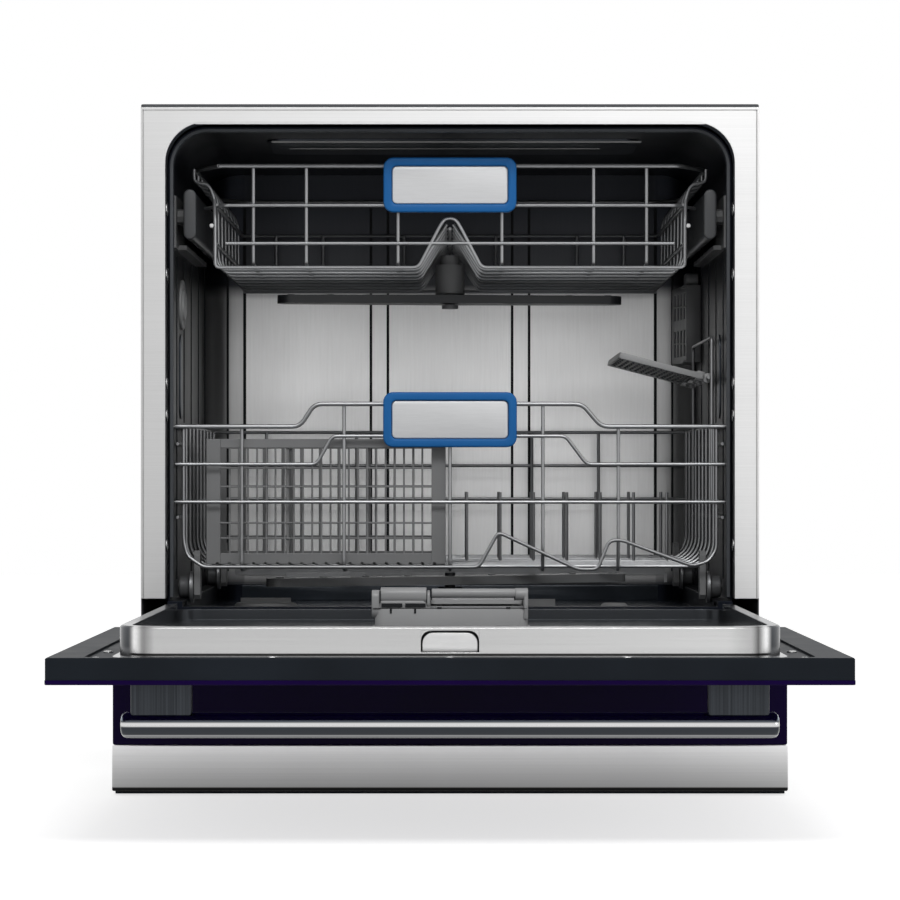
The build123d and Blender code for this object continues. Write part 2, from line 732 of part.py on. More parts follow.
with BuildPart() as rinse_cap:
    bar_z(rinse_top - 10, rinse_top + 0.3, rinse_x, rinse_y, rinse_neck_radius)
    bar_z(rinse_top + 0.3, rinse_top + 2, rinse_x, rinse_y, rinse_cap_radius)
    with Locations((rinse_x, rinse_y, rinse_top + 2.6)):
        Box(2 * rinse_cap_radius - 6, 5, 1.6)
rinse_cap.part.label = "rinse_cap"
export_step(rinse_cap.part, "parts/rinse_cap.step")

# Sump below the tub floor, with the spindle of the lower spray arm
sump_outer = [(x, y, r + sump_wall) for x, y, r in sump_outline]
pan_under = pan_floor - tub_wall
with BuildPart() as sump:
    hull_slab(sump_outer, sump_floor, pan_under)
    hull_slab([(x, y, r + 12) for x, y, r in sump_outline], pan_under - 4, pan_under)
    hull_slab(sump_outline, sump_floor + sump_wall, pan_under + 1, Mode.SUBTRACT)
    bar_z(sump_floor, lower_arm_low - 3, 0, hub_y, 12)
    bar_z(sump_floor, lower_arm_low + spray_arm_thickness + 3, 0, hub_y, spindle_radius)
sump.part.label = "sump"
export_step(sump.part, "parts/sump.step")

# Filter plate over the sump
filter_gap = 0.5
with BuildPart() as filter_plate:
    hull_slab([(0, hub_y, sump_radius + 34), (filter_x, filter_y, sump_side_radius + 12)], pan_floor, pan_floor + 1.2)
    bar_z(pan_floor - 1, pan_floor + 2, 0, hub_y, 12 + filter_gap, Mode.SUBTRACT)
    bar_z(pan_floor - 1, pan_floor + 2, filter_x, filter_y, filter_radius + filter_gap, Mode.SUBTRACT)
filter_plate.part.label = "filter_plate"
export_step(filter_plate.part, "parts/filter_plate.step")

# Filter cup: fine mesh cylinder with a cross handle
plate_top = pan_floor + 1.2
with BuildPart() as filter_cup:
    bar_z(sump_floor + sump_wall + 12, plate_top, filter_x, filter_y, filter_radius)
    bar_z(plate_top, plate_top + 2, filter_x, filter_y, filter_radius + 4)
    with Locations((filter_x, filter_y, plate_top + 7)):
        Box(2 * filter_radius - 12, 4, 10)
        Box(4, 2 * filter_radius - 12, 10)
filter_cup.part.label = "filter_cup"
export_step(filter_cup.part, "parts/filter_cup.step")


def spray_arm(low, radius, hub_radius, turn):
    """A two-bladed spray arm with jets along its top, hub at the tub's middle."""
    tip = radius - 13
    with BuildPart() as arm_piece:
        for side in (0, 180):
            angle = radians(turn + side)
            hull_slab([(0, hub_y, hub_radius),
                       (tip * cos(angle), hub_y + tip * sin(angle), 13)], low, low + spray_arm_thickness)
        with BuildSketch(Plane.XY.offset(low + spray_arm_thickness - 1)) as jets:
            for side in (0, 180):
                angle = radians(turn + side)
                for reach in spread(hub_radius + 18, tip, 4):
                    with Locations((reach * cos(angle), hub_y + reach * sin(angle))):
                        RegularPolygon(3.6, 6)
        extrude(jets.sketch, amount=2)
        bar_z(low - 1, low + spray_arm_thickness + 2, 0, hub_y, spindle_radius + running_gap, Mode.SUBTRACT)
    return arm_piece.part


lower_spray_arm = spray_arm(lower_arm_low, lower_arm_radius, 26, 24)
lower_spray_arm.label = "lower_spray_arm"
export_step(lower_spray_arm, "parts/lower_spray_arm.step")

upper_spray_arm = spray_arm(upper_arm_low, upper_arm_radius, 22, 4)
upper_spray_arm.label = "upper_spray_arm"
export_step(upper_spray_arm, "parts/upper_spray_arm.step")

# Feed tube of the upper spray arm, with a flared mouth at the rear
feed_hub = 14.0
feed_mouth = tub_back - 11.5
spigot_tip = tub_back - 14.0
spigot_radius = feed_radius - 2
with BuildPart() as feed_tube:
    bar_z(upper_arm_low + spray_arm_thickness + 1.5, feed_z, 0, hub_y, feed_hub)
    bar_z(upper_arm_low - 3, feed_z, 0, hub_y, spindle_radius)
    bar_z(upper_arm_low - 4.5, upper_arm_low - 1, 0, hub_y, spindle_radius + 3)
    bar_y(hub_y, feed_mouth, 0, feed_z, feed_radius)
    bar_y(feed_mouth - 14, feed_mouth, 0, feed_z, feed_mouth_radius)
    bar_y(feed_mouth - 9, feed_mouth + 1, 0, feed_z, spigot_radius + 1, Mode.SUBTRACT)
    bar_z(feed_z, feed_z + feed_radius, 0, hub_y, feed_radius)
feed_tube.part.label = "feed_tube"
export_step(feed_tube.part, "parts/feed_tube.step")

# Riser pipe behind the tub, with the spigot that feeds the upper arm
riser_front = back_wall + 1.0
riser_back = panel_back - 1.0
with BuildPart() as riser_pipe:
    rounded_plate(-14, 14, riser_front, riser_back, 120, feed_z + 14, 5)
    bar_y(spigot_tip, riser_front + 2, 0, feed_z, spigot_radius)
    bar_y(riser_front - 0.7, riser_front + 1, 0, feed_z, feed_radius + 4)
    rounded_plate(-14, 14, hub_y + sump_radius + sump_wall, riser_back, 108, 121, 5)
riser_pipe.part.label = "riser_pipe"
export_step(riser_pipe.part, "parts/riser_pipe.step")

# Wash pump with its volute against the sump
pump_y = hub_y + 5
pump_z = 88.0
with BuildPart() as wash_pump:
    bar_x(-176, -96, pump_y, pump_z, 44)
    bar_x(-96, -74, pump_y, pump_z, 52)
    bar_x(-74, -sump_radius - sump_wall - 0.3, hub_y, pump_z, 17)
    chamfer(wash_pump.faces().sort_by(Axis.X)[0].edges(), 5)
    for x in (-165, -90):
        block((x - 6, pump_y - 30, tray_floor + tray_wall), (x + 6, pump_y + 30, pump_z - 30))
wash_pump.part.label = "wash_pump"
export_step(wash_pump.part, "parts/wash_pump.step")

# Drain pump with its outlet pipe, which ends as the hose spigot at the rear
drain_pump_y = hub_y + 45
drain_end = cabinet_depth - 2
connector_start = cabinet_depth - 24.0
with BuildPart() as drain_pump:
    bar_x(sump_radius + sump_wall + 3, 150, drain_pump_y, 80, 26)
    bar_x(sump_radius + 0.8, sump_radius + sump_wall + 4, hub_y + 30, 80, 10)
    bar_y(drain_pump_y, connector_start, drain_x, drain_z, drain_radius - 2)
    bar_y(connector_start, drain_end, drain_x, drain_z, drain_radius)
    bar_z(drain_z, 80, drain_x, drain_pump_y + 12, drain_radius)
    block((120, drain_pump_y - 18, tray_floor + tray_wall), (130, drain_pump_y + 8, 60))
    chamfer(drain_pump.faces().sort_by(Axis.X)[-1].edges(), 3)
drain_pump.part.label = "drain_pump"
export_step(drain_pump.part, "parts/drain_pump.step")

# Inlet valve with the threaded connector for the water hose
valve_front = cabinet_depth - 72.0
with BuildPart() as inlet_valve:
    block((valve_x - 20, valve_front, tray_floor + tray_wall), (valve_x + 20, connector_start - 6, valve_z + 16))
    chamfer(inlet_valve.edges().filter_by(Axis.Z), 4)
    bar_y(connector_start - 8, connector_start, valve_x, valve_z, inlet_radius + 1.2)
    bar_y(connector_start - 8, drain_end, valve_x, valve_z, inlet_radius)
    bar_z(valve_z, valve_z + 32, valve_x, valve_front + 18, 12)
inlet_valve.part.label = "inlet_valve"
export_step(inlet_valve.part, "parts/inlet_valve.step")

# Water softener with its neck through the tub floor, and the salt cap
softener_back = hub_y - 49.0
with BuildPart() as water_softener:
    block((salt_x - 52, salt_y - 54, 22), (salt_x + 48, softener_back, pan_under - 12))
    chamfer(water_softener.edges().filter_by(Axis.Z), 12)
    bar_z(pan_under - 12, pan_under, salt_x, salt_y, salt_neck + 6)
    bar_z(pan_under - 12, pan_floor + 4, salt_x, salt_y, salt_neck)
    bar_z(60, pan_floor + 5, salt_x, salt_y, salt_neck - 4, Mode.SUBTRACT)
    block((salt_x - 30, salt_y - 30, tray_floor + tray_wall), (salt_x + 20, salt_y + 50, 22))
water_softener.part.label = "water_softener"
export_step(water_softener.part, "parts/water_softener.step")

with BuildPart() as salt_cap:
    bar_z(pan_floor + 4.3, pan_floor + 11, salt_x, salt_y, salt_cap_radius)
    chamfer(salt_cap.edges().filter_by(GeomType.CIRCLE).sort_by(Axis.Z)[-1], 2)
    bar_z(pan_floor - 6, pan_floor + 4.3, salt_x, salt_y, salt_neck - 4.3)
    with Locations((salt_x, salt_y, pan_floor + 13)):
        Box(2 * salt_cap_radius - 12, 7, 5)
salt_cap.part.label = "salt_cap"
export_step(salt_cap.part, "parts/salt_cap.step")

# Overflow float
with BuildPart() as overflow_float:
    bar_z(pan_floor + 0.3, pan_floor + 12, float_x, float_y, 14)
    chamfer(overflow_float.edges().filter_by(GeomType.CIRCLE).sort_by(Axis.Z)[-1], 4)
    bar_z(pan_floor - 25, pan_floor + 1, float_x, float_y, 4.6)
overflow_float.part.label = "overflow_float"
export_step(overflow_float.part, "parts/overflow_float.step")

# Air break: the water chamber between tub and left side panel, and its cap in the wall
air_front = 80.0
air_back = tub_back - 125.0
air_low = 180.0
air_high = rail_low - 23.0
with BuildPart() as air_break:
    block((-side_inner + 0.5, air_front, air_low), (-tub_half - tub_wall - 0.5, air_back, air_high))
    chamfer(air_break.edges().filter_by(Axis.X), 12)
    bar_x(-tub_half - tub_wall - 1, -tub_half - 0.3, cap_y, cap_z, cap_radius - 6)
air_break.part.label = "air_break"
export_step(air_break.part, "parts/air_break.step")

with BuildPart() as air_break_cap:
    bar_x(-tub_half, -tub_half + 5, cap_y, cap_z, cap_radius)
    chamfer(air_break_cap.faces().sort_by(Axis.X)[-1].edges(), 2)
    with BuildSketch(Plane.YZ.offset(-tub_half + 3.6)) as ribs:
        with Locations((cap_y, cap_z)):
            with GridLocations(0, 8, 1, 3):
                Rectangle(28, 3)
    extrude(ribs.sketch, amount=2, mode=Mode.SUBTRACT)
air_break_cap.part.label = "air_break_cap"
export_step(air_break_cap.part, "parts/air_break_cap.step")

# Vent grille on the right wall: a hollow box with two rows of slots
vent_proud = 18.0
with BuildPart() as vent_grille:
    block((tub_half - vent_proud, vent_y - vent_half_length, vent_z - vent_half_height),
          (tub_half, vent_y + vent_half_length, vent_z + vent_half_height))
    chamfer(vent_grille.edges().filter_by(Axis.X), 4)
    block((tub_half - vent_proud + 2, vent_y - vent_half_length + 3, vent_z - vent_half_height + 3),
          (tub_half + 1, vent_y + vent_half_length - 3, vent_z + vent_half_height - 3), Mode.SUBTRACT)
    with BuildSketch(Plane.YZ.offset(tub_half - vent_proud)) as slots:
        with Locations((vent_y, vent_z)):
            with GridLocations(13, 30, 4, 2):
                Rectangle(5, 24)
    extrude(slots.sketch, amount=3, mode=Mode.SUBTRACT)
vent_grille.part.label = "vent_grille"
export_step(vent_grille.part, "parts/vent_grille.step")

# Roller mounts on the tub walls: a plate with two stub axles over a guide ledge
roller_z = (rail_low + rail_high) / 2
roller_radius = (rail_high - rail_low) / 2 - rail_lip - roller_gap
roller_inner = rail_inner + rail_web + 1.0
roller_outer = roller_inner + roller_width
mount_plate = 3.0
with BuildPart() as roller_mounts:
    block((tub_half - mount_plate, roller_front - 18, ledge_low), (tub_half, roller_back + 18, rail_high - 4))
    block((tub_half - ledge_depth, ledge_front, ledge_low), (tub_half, ledge_back, ledge_low + 4))
    for y in (roller_front, roller_back):
        stud_x(roller_outer + 0.5, tub_half, y, roller_z, roller_axle + 3)
        bar_x(roller_inner - 0.4, tub_half, y, roller_z, roller_axle)
    mirror(about=Plane.YZ)
roller_mounts.part.label = "roller_mounts"
export_step(roller_mounts.part, "parts/roller_mounts.step")


def wall_rollers(y):
    """The left and right wall roller at depth y."""
    with BuildPart() as pair:
        bar_x(roller_inner, roller_outer, y, roller_z, roller_radius)
        bar_x(roller_inner - 1, roller_outer + 1, y, roller_z, roller_axle + running_gap, Mode.SUBTRACT)
        mirror(about=Plane.YZ)
    return pair.part


front_wall_rollers = wall_rollers(roller_front)
front_wall_rollers.label = "front_wall_rollers"
export_step(front_wall_rollers, "parts/front_wall_rollers.step")
rear_wall_rollers = wall_rollers(roller_back)
rear_wall_rollers.label = "rear_wall_rollers"
export_step(rear_wall_rollers, "parts/rear_wall_rollers.step")

# Side rails of the upper rack: channels clipped to its side wires
with BuildPart() as upper_rack_rails:
    block((rail_inner, rail_front, rail_low), (rail_outer, rail_back, rail_high))
    block((rail_inner + rail_web, rail_front - 1, rail_low + rail_lip), (rail_outer + 1, rail_back + 1, rail_high - rail_lip),
          Mode.SUBTRACT)
    for y in (rail_front + 63, (rail_front + rail_back) / 2, rail_back - 38):
        block((upper_half + fence_wire / 2, y - 9, upper_third - 3), (rail_inner, y + 9, upper_second + 3))
    mirror(about=Plane.YZ)
upper_rack_rails.part.label = "upper_rack_rails"
export_step(upper_rack_rails.part, "parts/upper_rack_rails.step")

# Caps on the front ends of the rails
cap_thickness = 6.0
with BuildPart() as rail_caps:
    with BuildSketch(facing(rail_front)) as cap_outline:
        with Locations(((rail_inner + rail_outer) / 2, roller_z)):
            SlotOverall(rail_high - rail_low + 1, rail_outer - rail_inner + 0.5, rotation=90)
    extrude(cap_outline.sketch, amount=cap_thickness)
    mirror(about=Plane.YZ)
rail_caps.part.label = "rail_caps"
export_step(rail_caps.part, "parts/rail_caps.step")


def fence(wires, name):
    """Wires welded into one flat fence."""
    with BuildPart() as welded:
        add(wires)
    welded.part.label = name
    return welded.part


# Upper rack: fences on four sides, two floor halves and the raised ridge between them
upper_uprights = [upper_half * share for share in (-1, -0.84, -0.61, -0.22, 0.22, 0.61, 0.84, 1)]
rim_bend = upper_half - 2.6
upper_front_wires = [
    wire([(-rim_bend, upper_front, upper_rim), (rim_bend, upper_front, upper_rim)], rim_wire),
    wire([(-upper_half, upper_front, upper_second), (upper_half, upper_front, upper_second)], fence_wire),
    wire([(-upper_half, upper_front, upper_third), (upper_half, upper_front, upper_third)], fence_wire),
    wire([(-upper_half, upper_front, upper_floor), (upper_half, upper_front, upper_floor)], fence_wire),
]
upper_front_wires += [
    wire([(x * (0.985 if abs(x) == upper_half else 1), upper_front + step, upper_floor),
          (x * (0.985 if abs(x) == upper_half else 1), upper_front + step, upper_rim)], fence_wire)
    for x in upper_uprights
]
arch_half = feed_radius + 12
arch_top = feed_z + feed_mouth_radius + fence_wire / 2 + soft_gap
upper_back_wires = [
    wire([(-upper_half, upper_back, z), (upper_half, upper_back, z)], fence_wire)
    for z in (upper_rim, upper_second, upper_floor)
]
upper_back_wires.append(
    wire([(-upper_half, upper_back, upper_third), (-arch_half - 5, upper_back, upper_third),
          (-arch_half, upper_back, arch_top), (arch_half, upper_back, arch_top),
          (arch_half + 5, upper_back, upper_third), (upper_half, upper_back, upper_third)], fence_wire))
upper_back_wires += [
    wire([(x, upper_back - step, upper_floor), (x, upper_back - step, upper_rim)], fence_wire)
    for x in spread(32 - upper_half, upper_half - 32, 4)
]
upper_stations = spread(upper_front + 25, upper_back - 25, 5)


def upper_side(side):
    """One side fence of the upper rack, leaning out to its rim."""
    wires = [
        wire([(side * rim_bend, upper_front, upper_rim), (side * upper_rim_half, upper_front + 24, upper_rim),
              (side * upper_rim_half, upper_back - 24, upper_rim), (side * rim_bend, upper_back, upper_rim)], rim_wire),
        wire([(side * upper_half, upper_front, upper_second), (side * upper_half, upper_back, upper_second)],
             fence_wire),
        wire([(side * upper_half, upper_front, upper_third), (side * upper_half, upper_back, upper_third)],
             fence_wire),
    ]
    for y in upper_stations:
        wires.append(wire([(side * upper_rim_half, y, upper_rim), (side * (upper_half - step), y, upper_shoulder),
                           (side * (upper_half - step), y, upper_floor)], fence_wire))
    return fence(wires, "side")


def upper_floor_half(side):
    """One half of the upper rack's floor."""
    wires = [
        wire([(side * ridge_half, y, upper_floor), (side * upper_half, y, upper_floor)], fence_wire)
        for y in spread(upper_front + 25, upper_back - 25, 7)
    ]
    wires += [
        wire([(side * x, upper_front, upper_floor + step), (side * x, upper_back, upper_floor + step)], fence_wire)
        for x in (ridge_half + 3, upper_half * 0.6)
    ]
    return fence(wires, "floor")


ridge_wires = [
    wire([(-ridge_half - 3, y, upper_floor), (0, y, ridge_top), (ridge_half + 3, y, upper_floor)], fence_wire)
    for y in [upper_front] + spread(upper_front + 25, upper_back - 60, 4)
]
ridge_wires.append(wire([(0, upper_front, ridge_top + step), (0, upper_back - 25, ridge_top + step)], fence_wire))
upper_rack_wires = Compound(label="upper_rack_wires", children=[
    fence(upper_front_wires, "front"), fence(upper_back_wires, "back"), upper_side(-1), upper_side(1),
    upper_floor_half(-1), upper_floor_half(1), fence(ridge_wires, "ridge"),
])
export_step(upper_rack_wires, "parts/upper_rack_wires.step")


def handle_frame(low, wire_front, name):
    """The rounded frame of a rack handle, with a thin back that carries its plate."""
    back = wire_front - rim_wire / 2
    front = back - handle_thickness
    middle = low + handle_plate_height / 2
    with BuildPart() as piece:
        with BuildSketch(facing(back)) as outline:
            with Locations((0, middle)):
                RectangleRounded(handle_plate_width, handle_plate_height, handle_corner)
        extrude(outline.sketch, amount=handle_thickness)
        chamfer(piece.faces().sort_by(Axis.Y)[0].edges(), 1.5)
        with BuildSketch(facing(back - 2)) as pocket:
            with Locations((0, middle)):
                RectangleRounded(handle_plate_width - 2 * handle_border,
                                 handle_plate_height - 2 * handle_border, handle_corner / 2)
        extrude(pocket.sketch, amount=handle_thickness, mode=Mode.SUBTRACT)
    piece.part.label = name
    return piece.part


def handle_plate(low, wire_front, name):
    """The bright plate set in a rack handle."""
    seat = wire_front - rim_wire / 2 - 2
    with BuildPart() as piece:
        with BuildSketch(facing(seat)) as outline:
            with Locations((0, low + handle_plate_height / 2)):
                RectangleRounded(handle_plate_width - 2 * handle_border - 0.6,
                                 handle_plate_height - 2 * handle_border - 0.6, handle_corner / 2 - 0.3)
        extrude(outline.sketch, amount=4)
        chamfer(piece.faces().sort_by(Axis.Y)[0].edges(), 1)
    piece.part.label = name
    return piece.part


upper_handle_frame = handle_frame(upper_handle_low, upper_front, "upper_handle_frame")
export_step(upper_handle_frame, "parts/upper_handle_frame.step")
upper_handle_plate = handle_plate(upper_handle_low, upper_front, "upper_handle_plate")
export_step(upper_handle_plate, "parts/upper_handle_plate.step")

# Lower rack
foot_half = lower_half - 16.5
lower_front_wires = [
    wire([(-lower_half, lower_front, lower_rim), (-135, lower_front, lower_rim), (-122, lower_front, lower_rim_raised),
          (119, lower_front, lower_rim_raised), (136, lower_front, lower_rim), (lower_half, lower_front, lower_rim)],
         rim_wire),
    wire([(-lower_half, lower_front, lower_second), (-120, lower_front, lower_second),
          (-106, lower_front, lower_second_raised), (104, lower_front, lower_second_raised),
          (123, lower_front, lower_second), (lower_half, lower_front, lower_second)], fence_wire),
    wire([(-lower_half, lower_front, lower_third), (lower_half, lower_front, lower_third)], fence_wire),
    wire([(-lower_half, lower_front, 224), (3.5 - lower_half, lower_front, 205), (-foot_half, lower_front, lower_floor),
          (26, lower_front, lower_floor), (41.6, lower_front, 224.6), (115, lower_front, lower_floor - 1),
          (133, lower_front, lower_floor - 1), (141, lower_front, 216), (150, lower_front, 217),
          (foot_half, lower_front, lower_floor), (lower_half - 3.5, lower_front, 205), (lower_half, lower_front, 224)],
         fence_wire),
]
lower_front_wires += [
    wire([(x, lower_front + step, foot), (x, lower_front + step, top)], fence_wire)
    for x, foot, top in ((-lower_half + 2, 222, lower_rim), (55 - lower_half, lower_floor, lower_rim),
                         (-95.4, lower_floor, lower_rim_raised), (0, lower_floor, lower_rim_raised),
                         (83.6, 208, lower_rim_raised), (151.7, 216, lower_rim), (lower_half - 2, 222, lower_rim))
]
lower_back_wires = [
    wire([(-lower_half, lower_back, z), (lower_half, lower_back, z)], fence_wire)
    for z in (lower_rim, lower_second, lower_third)
]
lower_back_wires += [
    wire([(x, lower_back - step, lower_floor), (x, lower_back - step, lower_rim)], fence_wire)
    for x in spread(42.5 - lower_half, lower_half - 42.5, 5)
]
lower_stations = spread(lower_front + 40, lower_back - 48, 6)


def lower_side(side):
    """One side fence of the lower rack, tucked in at its foot."""
    wires = [
        wire([(side * lower_half, lower_front, z), (side * lower_half, lower_back, z)], thick)
        for z, thick in ((lower_rim, rim_wire), (lower_second, fence_wire), (lower_third, fence_wire))
    ]
    for y in lower_stations:
        wires.append(wire([(side * (lower_half - step), y, lower_rim), (side * (lower_half - step), y, 212),
                           (side * foot_half, y, lower_floor)], fence_wire))
    return fence(wires, "side")


lower_floor_wires = [
    wire([(-foot_half, y, lower_floor), (foot_half, y, lower_floor)], fence_wire) for y in lower_stations + [lower_back]
]
lower_floor_wires += [
    wire([(x, lower_front, lower_floor - step), (x, lower_back, lower_floor - step)], fence_wire)
    for x in (2 - foot_half, -foot_half / 2, 0, foot_half / 2, foot_half - 2)
]
shelf_post_wires = [
    wire([(shelf_post_x, y, lower_third), (shelf_post_x, y, post_top)], fence_wire)
    for y in (shelf_front - 8, shelf_back + 8)
]
shelf_post_wires.append(
    wire([(shelf_hinge_x, shelf_front - 8, post_top), (shelf_hinge_x, shelf_back + 8, post_top)], fence_wire))
with BuildPart() as shelf_hinge_rod:
    bar_y(shelf_front - 8 - fence_wire / 2, shelf_back + 8 + fence_wire / 2, shelf_hinge_x, shelf_hinge_z, fence_wire / 2)
shelf_post_wires.append(shelf_hinge_rod.part)
lower_rack_wires = Compound(label="lower_rack_wires", children=[
    fence(lower_front_wires, "front"), fence(lower_back_wires, "back"), lower_side(-1), lower_side(1),
    fence(lower_floor_wires, "floor"), fence(shelf_post_wires, "posts"),
])
export_step(lower_rack_wires, "parts/lower_rack_wires.step")

lower_handle_frame = handle_frame(lower_handle_low, lower_front, "lower_handle_frame")
export_step(lower_handle_frame, "parts/lower_handle_frame.step")
lower_handle_plate = handle_plate(lower_handle_low, lower_front, "lower_handle_plate")
export_step(lower_handle_plate, "parts/lower_handle_plate.step")

# Clips that carry the wheels of the lower rack
axle_z = track + wheel_clear + wheel_tread
clip_outer = wheel_outer - tread_width - boss_width - 0.5
clip_inner = clip_outer - clip_thickness
with BuildPart() as wheel_clips:
    for y in (wheel_front, wheel_back):
        with BuildSketch(Plane.YZ.offset(clip_inner)) as clip:
            with Locations((y, axle_z + 11)):
                Rectangle(17, 44)
            chamfer(clip.vertices(), 4)
        extrude(clip.sketch, amount=clip_thickness)
        bar_x(clip_outer - 1, wheel_outer + 0.2, y, axle_z, wheel_axle)
        stud_x(wheel_outer + 0.2, wheel_outer + 1, y, axle_z, wheel_axle + 1.5)
    mirror(about=Plane.YZ)
wheel_clips.part.label = "wheel_clips"
export_step(wheel_clips.part, "parts/wheel_clips.step")


def rack_wheels(y):
    """The left and right wheel of the lower rack at depth y."""
    tread_inner = wheel_outer - tread_width
    with BuildPart() as pair:
        bar_x(tread_inner, wheel_outer, y, axle_z, wheel_tread)
        bar_x(tread_inner - boss_width, tread_inner, y, axle_z, wheel_boss)
        bar_x(tread_inner - boss_width - 1, wheel_outer + 1, y, axle_z, wheel_axle + running_gap, Mode.SUBTRACT)
        mirror(about=Plane.YZ)
    return pair.part


front_wheels = rack_wheels(wheel_front)
front_wheels.label = "front_wheels"
export_step(front_wheels, "parts/front_wheels.step")
rear_wheels = rack_wheels(wheel_back)
rear_wheels.label = "rear_wheels"
export_step(rear_wheels, "parts/rear_wheels.step")


# Cutlery basket: a floor, four lattice walls and two dividers that snap together
def lattice(length, height, columns, rows):
    """A flat lattice panel, drawn on its face from its lower left corner."""
    with BuildSketch() as panel_face:
        with Locations((length / 2, height / 2)):
            Rectangle(length, height)
            open_length = length - 2 * basket_border
            open_height = height - 2 * basket_border / 1.3
            pitch_x = open_length / columns
            pitch_y = open_height / rows
            with GridLocations(pitch_x, pitch_y, columns, rows):
                Rectangle(pitch_x - 2.2, pitch_y - 2.2, mode=Mode.SUBTRACT)
    return panel_face.sketch


basket_height = basket_top - basket_floor - basket_wall
basket_base = basket_floor + basket_wall


def basket_wall_across(y, left, right, columns, rows):
    """A wall of the basket that faces the front, its front face at depth y."""
    place = Plane(origin=(left, y + basket_wall, basket_base), x_dir=(1, 0, 0), z_dir=(0, -1, 0))
    with BuildPart() as wall:
        extrude(place * lattice(right - left, basket_height, columns, rows), amount=basket_wall)
    return wall.part


def basket_wall_along(x, near, far, columns, rows):
    """A wall of the basket that faces sideways, its left face at x."""
    place = Plane(origin=(x, near, basket_base), x_dir=(0, 1, 0), z_dir=(1, 0, 0))
    with BuildPart() as wall:
        extrude(place * lattice(far - near, basket_height, columns, rows), amount=basket_wall)
    return wall.part


with BuildPart() as basket_bottom:
    block((basket_left, basket_front, basket_floor), (basket_right, basket_back, basket_base))
    with BuildSketch(Plane.XY.offset(basket_floor)) as drain_slots:
        with Locations(((basket_left + basket_right) / 2, (basket_front + basket_back) / 2)):
            with GridLocations(36, 34, 5, 2):
                Rectangle(8, 24)
    extrude(drain_slots.sketch, amount=basket_wall, mode=Mode.SUBTRACT)
inner_near = basket_front + basket_wall
inner_far = basket_back - basket_wall
basket_third = (basket_right - basket_left) / 3
cutlery_basket = Compound(label="cutlery_basket", children=[
    basket_bottom.part,
    basket_wall_across(basket_front, basket_left, basket_right, 10, 4),
    basket_wall_across(basket_back - basket_wall, basket_left, basket_right, 4, 2),
    basket_wall_along(basket_left, inner_near, inner_far, 2, 2),
    basket_wall_along(basket_right - basket_wall, inner_near, inner_far, 2, 2),
    basket_wall_along(basket_left + basket_third, inner_near, inner_far, 1, 1),
    basket_wall_along(basket_left + 2 * basket_third, inner_near, inner_far, 1, 1),
])
export_step(cutlery_basket, "parts/cutlery_basket.step")

# Cup shelf: a tilted grid that folds up about the hinge wire
tilt = radians(shelf_tilt)
shelf_plane = Plane(origin=(shelf_hinge_x, (shelf_front + shelf_back) / 2, shelf_hinge_z),
                    x_dir=(-cos(tilt), 0, sin(tilt)), z_dir=(sin(tilt), 0, cos(tilt)))
shelf_width = shelf_back - shelf_front
with BuildPart() as cup_shelf:
    with BuildSketch(shelf_plane.offset(-shelf_rim / 2)) as rim_outline:
        with Locations((shelf_reach / 2 + 2, 0)):
            RectangleRounded(shelf_reach - 4, shelf_width, 8)
            with GridLocations((shelf_reach - 18) / 3, (shelf_width - 14) / 5, 3, 5):
                Rectangle((shelf_reach - 18) / 3 - 2.5, (shelf_width - 14) / 5 - 2.5, mode=Mode.SUBTRACT)
    extrude(rim_outline.sketch, amount=shelf_rim)
    for y in (shelf_front + 12, (shelf_front + shelf_back) / 2, shelf_back - 12):
        bar_y(y - 8, y + 8, shelf_hinge_x, shelf_hinge_z, 5)
    bar_y(shelf_front - 1, shelf_back + 1, shelf_hinge_x, shelf_hinge_z, fence_wire / 2 + 0.3, Mode.SUBTRACT)
cup_shelf.part.label = "cup_shelf"
export_step(cup_shelf.part, "parts/cup_shelf.step")


def tine_row(y, name):
    """A row of upright tines on a rod that turns in clips on the rack floor."""
    rod_z = lower_floor - step + fence_wire / 2 + tine_wire / 2 + soft_gap
    wires = [
        wire([(x, y, rod_z), (x, y, rod_z + tine_height)], tine_wire - weld)
        for x in spread(tine_left + 6, tine_right - 6, tine_count)
    ]
    with BuildPart() as row:
        bar_x(tine_left, tine_right, y, rod_z, tine_wire / 2)
        add(wires)
    row.part.label = name
    return row.part


front_tines = tine_row(front_tines_y, "front_tines")
export_step(front_tines, "parts/front_tines.step")
rear_tines = tine_row(rear_tines_y, "rear_tines")
export_step(rear_tines, "parts/rear_tines.step")
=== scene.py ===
# %% [markdown]
# A compact dishwasher with its door open and both racks in.
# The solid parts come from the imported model, in metres, and this script dresses them.
# X runs to the right, Y into the cabinet, Z up, and the floor is at zero.
# Every piece that is made here rides on the body that carries it, so that the door, the racks
# and the small moving parts keep their dress when they move.

# %% Load the frame
import math

import bmesh
import bpy
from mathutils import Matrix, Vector


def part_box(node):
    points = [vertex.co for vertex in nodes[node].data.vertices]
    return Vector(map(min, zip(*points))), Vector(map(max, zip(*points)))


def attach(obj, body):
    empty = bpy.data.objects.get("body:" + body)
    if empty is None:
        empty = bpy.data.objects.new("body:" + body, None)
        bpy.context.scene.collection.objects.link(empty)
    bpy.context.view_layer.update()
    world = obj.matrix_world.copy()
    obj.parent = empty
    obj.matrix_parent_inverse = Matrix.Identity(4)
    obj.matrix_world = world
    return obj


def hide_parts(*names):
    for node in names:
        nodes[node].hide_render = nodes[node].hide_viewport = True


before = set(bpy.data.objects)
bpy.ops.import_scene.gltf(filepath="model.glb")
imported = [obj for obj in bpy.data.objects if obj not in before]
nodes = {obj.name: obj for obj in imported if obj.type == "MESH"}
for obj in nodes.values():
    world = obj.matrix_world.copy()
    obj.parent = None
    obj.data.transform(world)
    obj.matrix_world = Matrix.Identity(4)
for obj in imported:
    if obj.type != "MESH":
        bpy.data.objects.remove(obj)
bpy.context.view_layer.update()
MM = 0.001
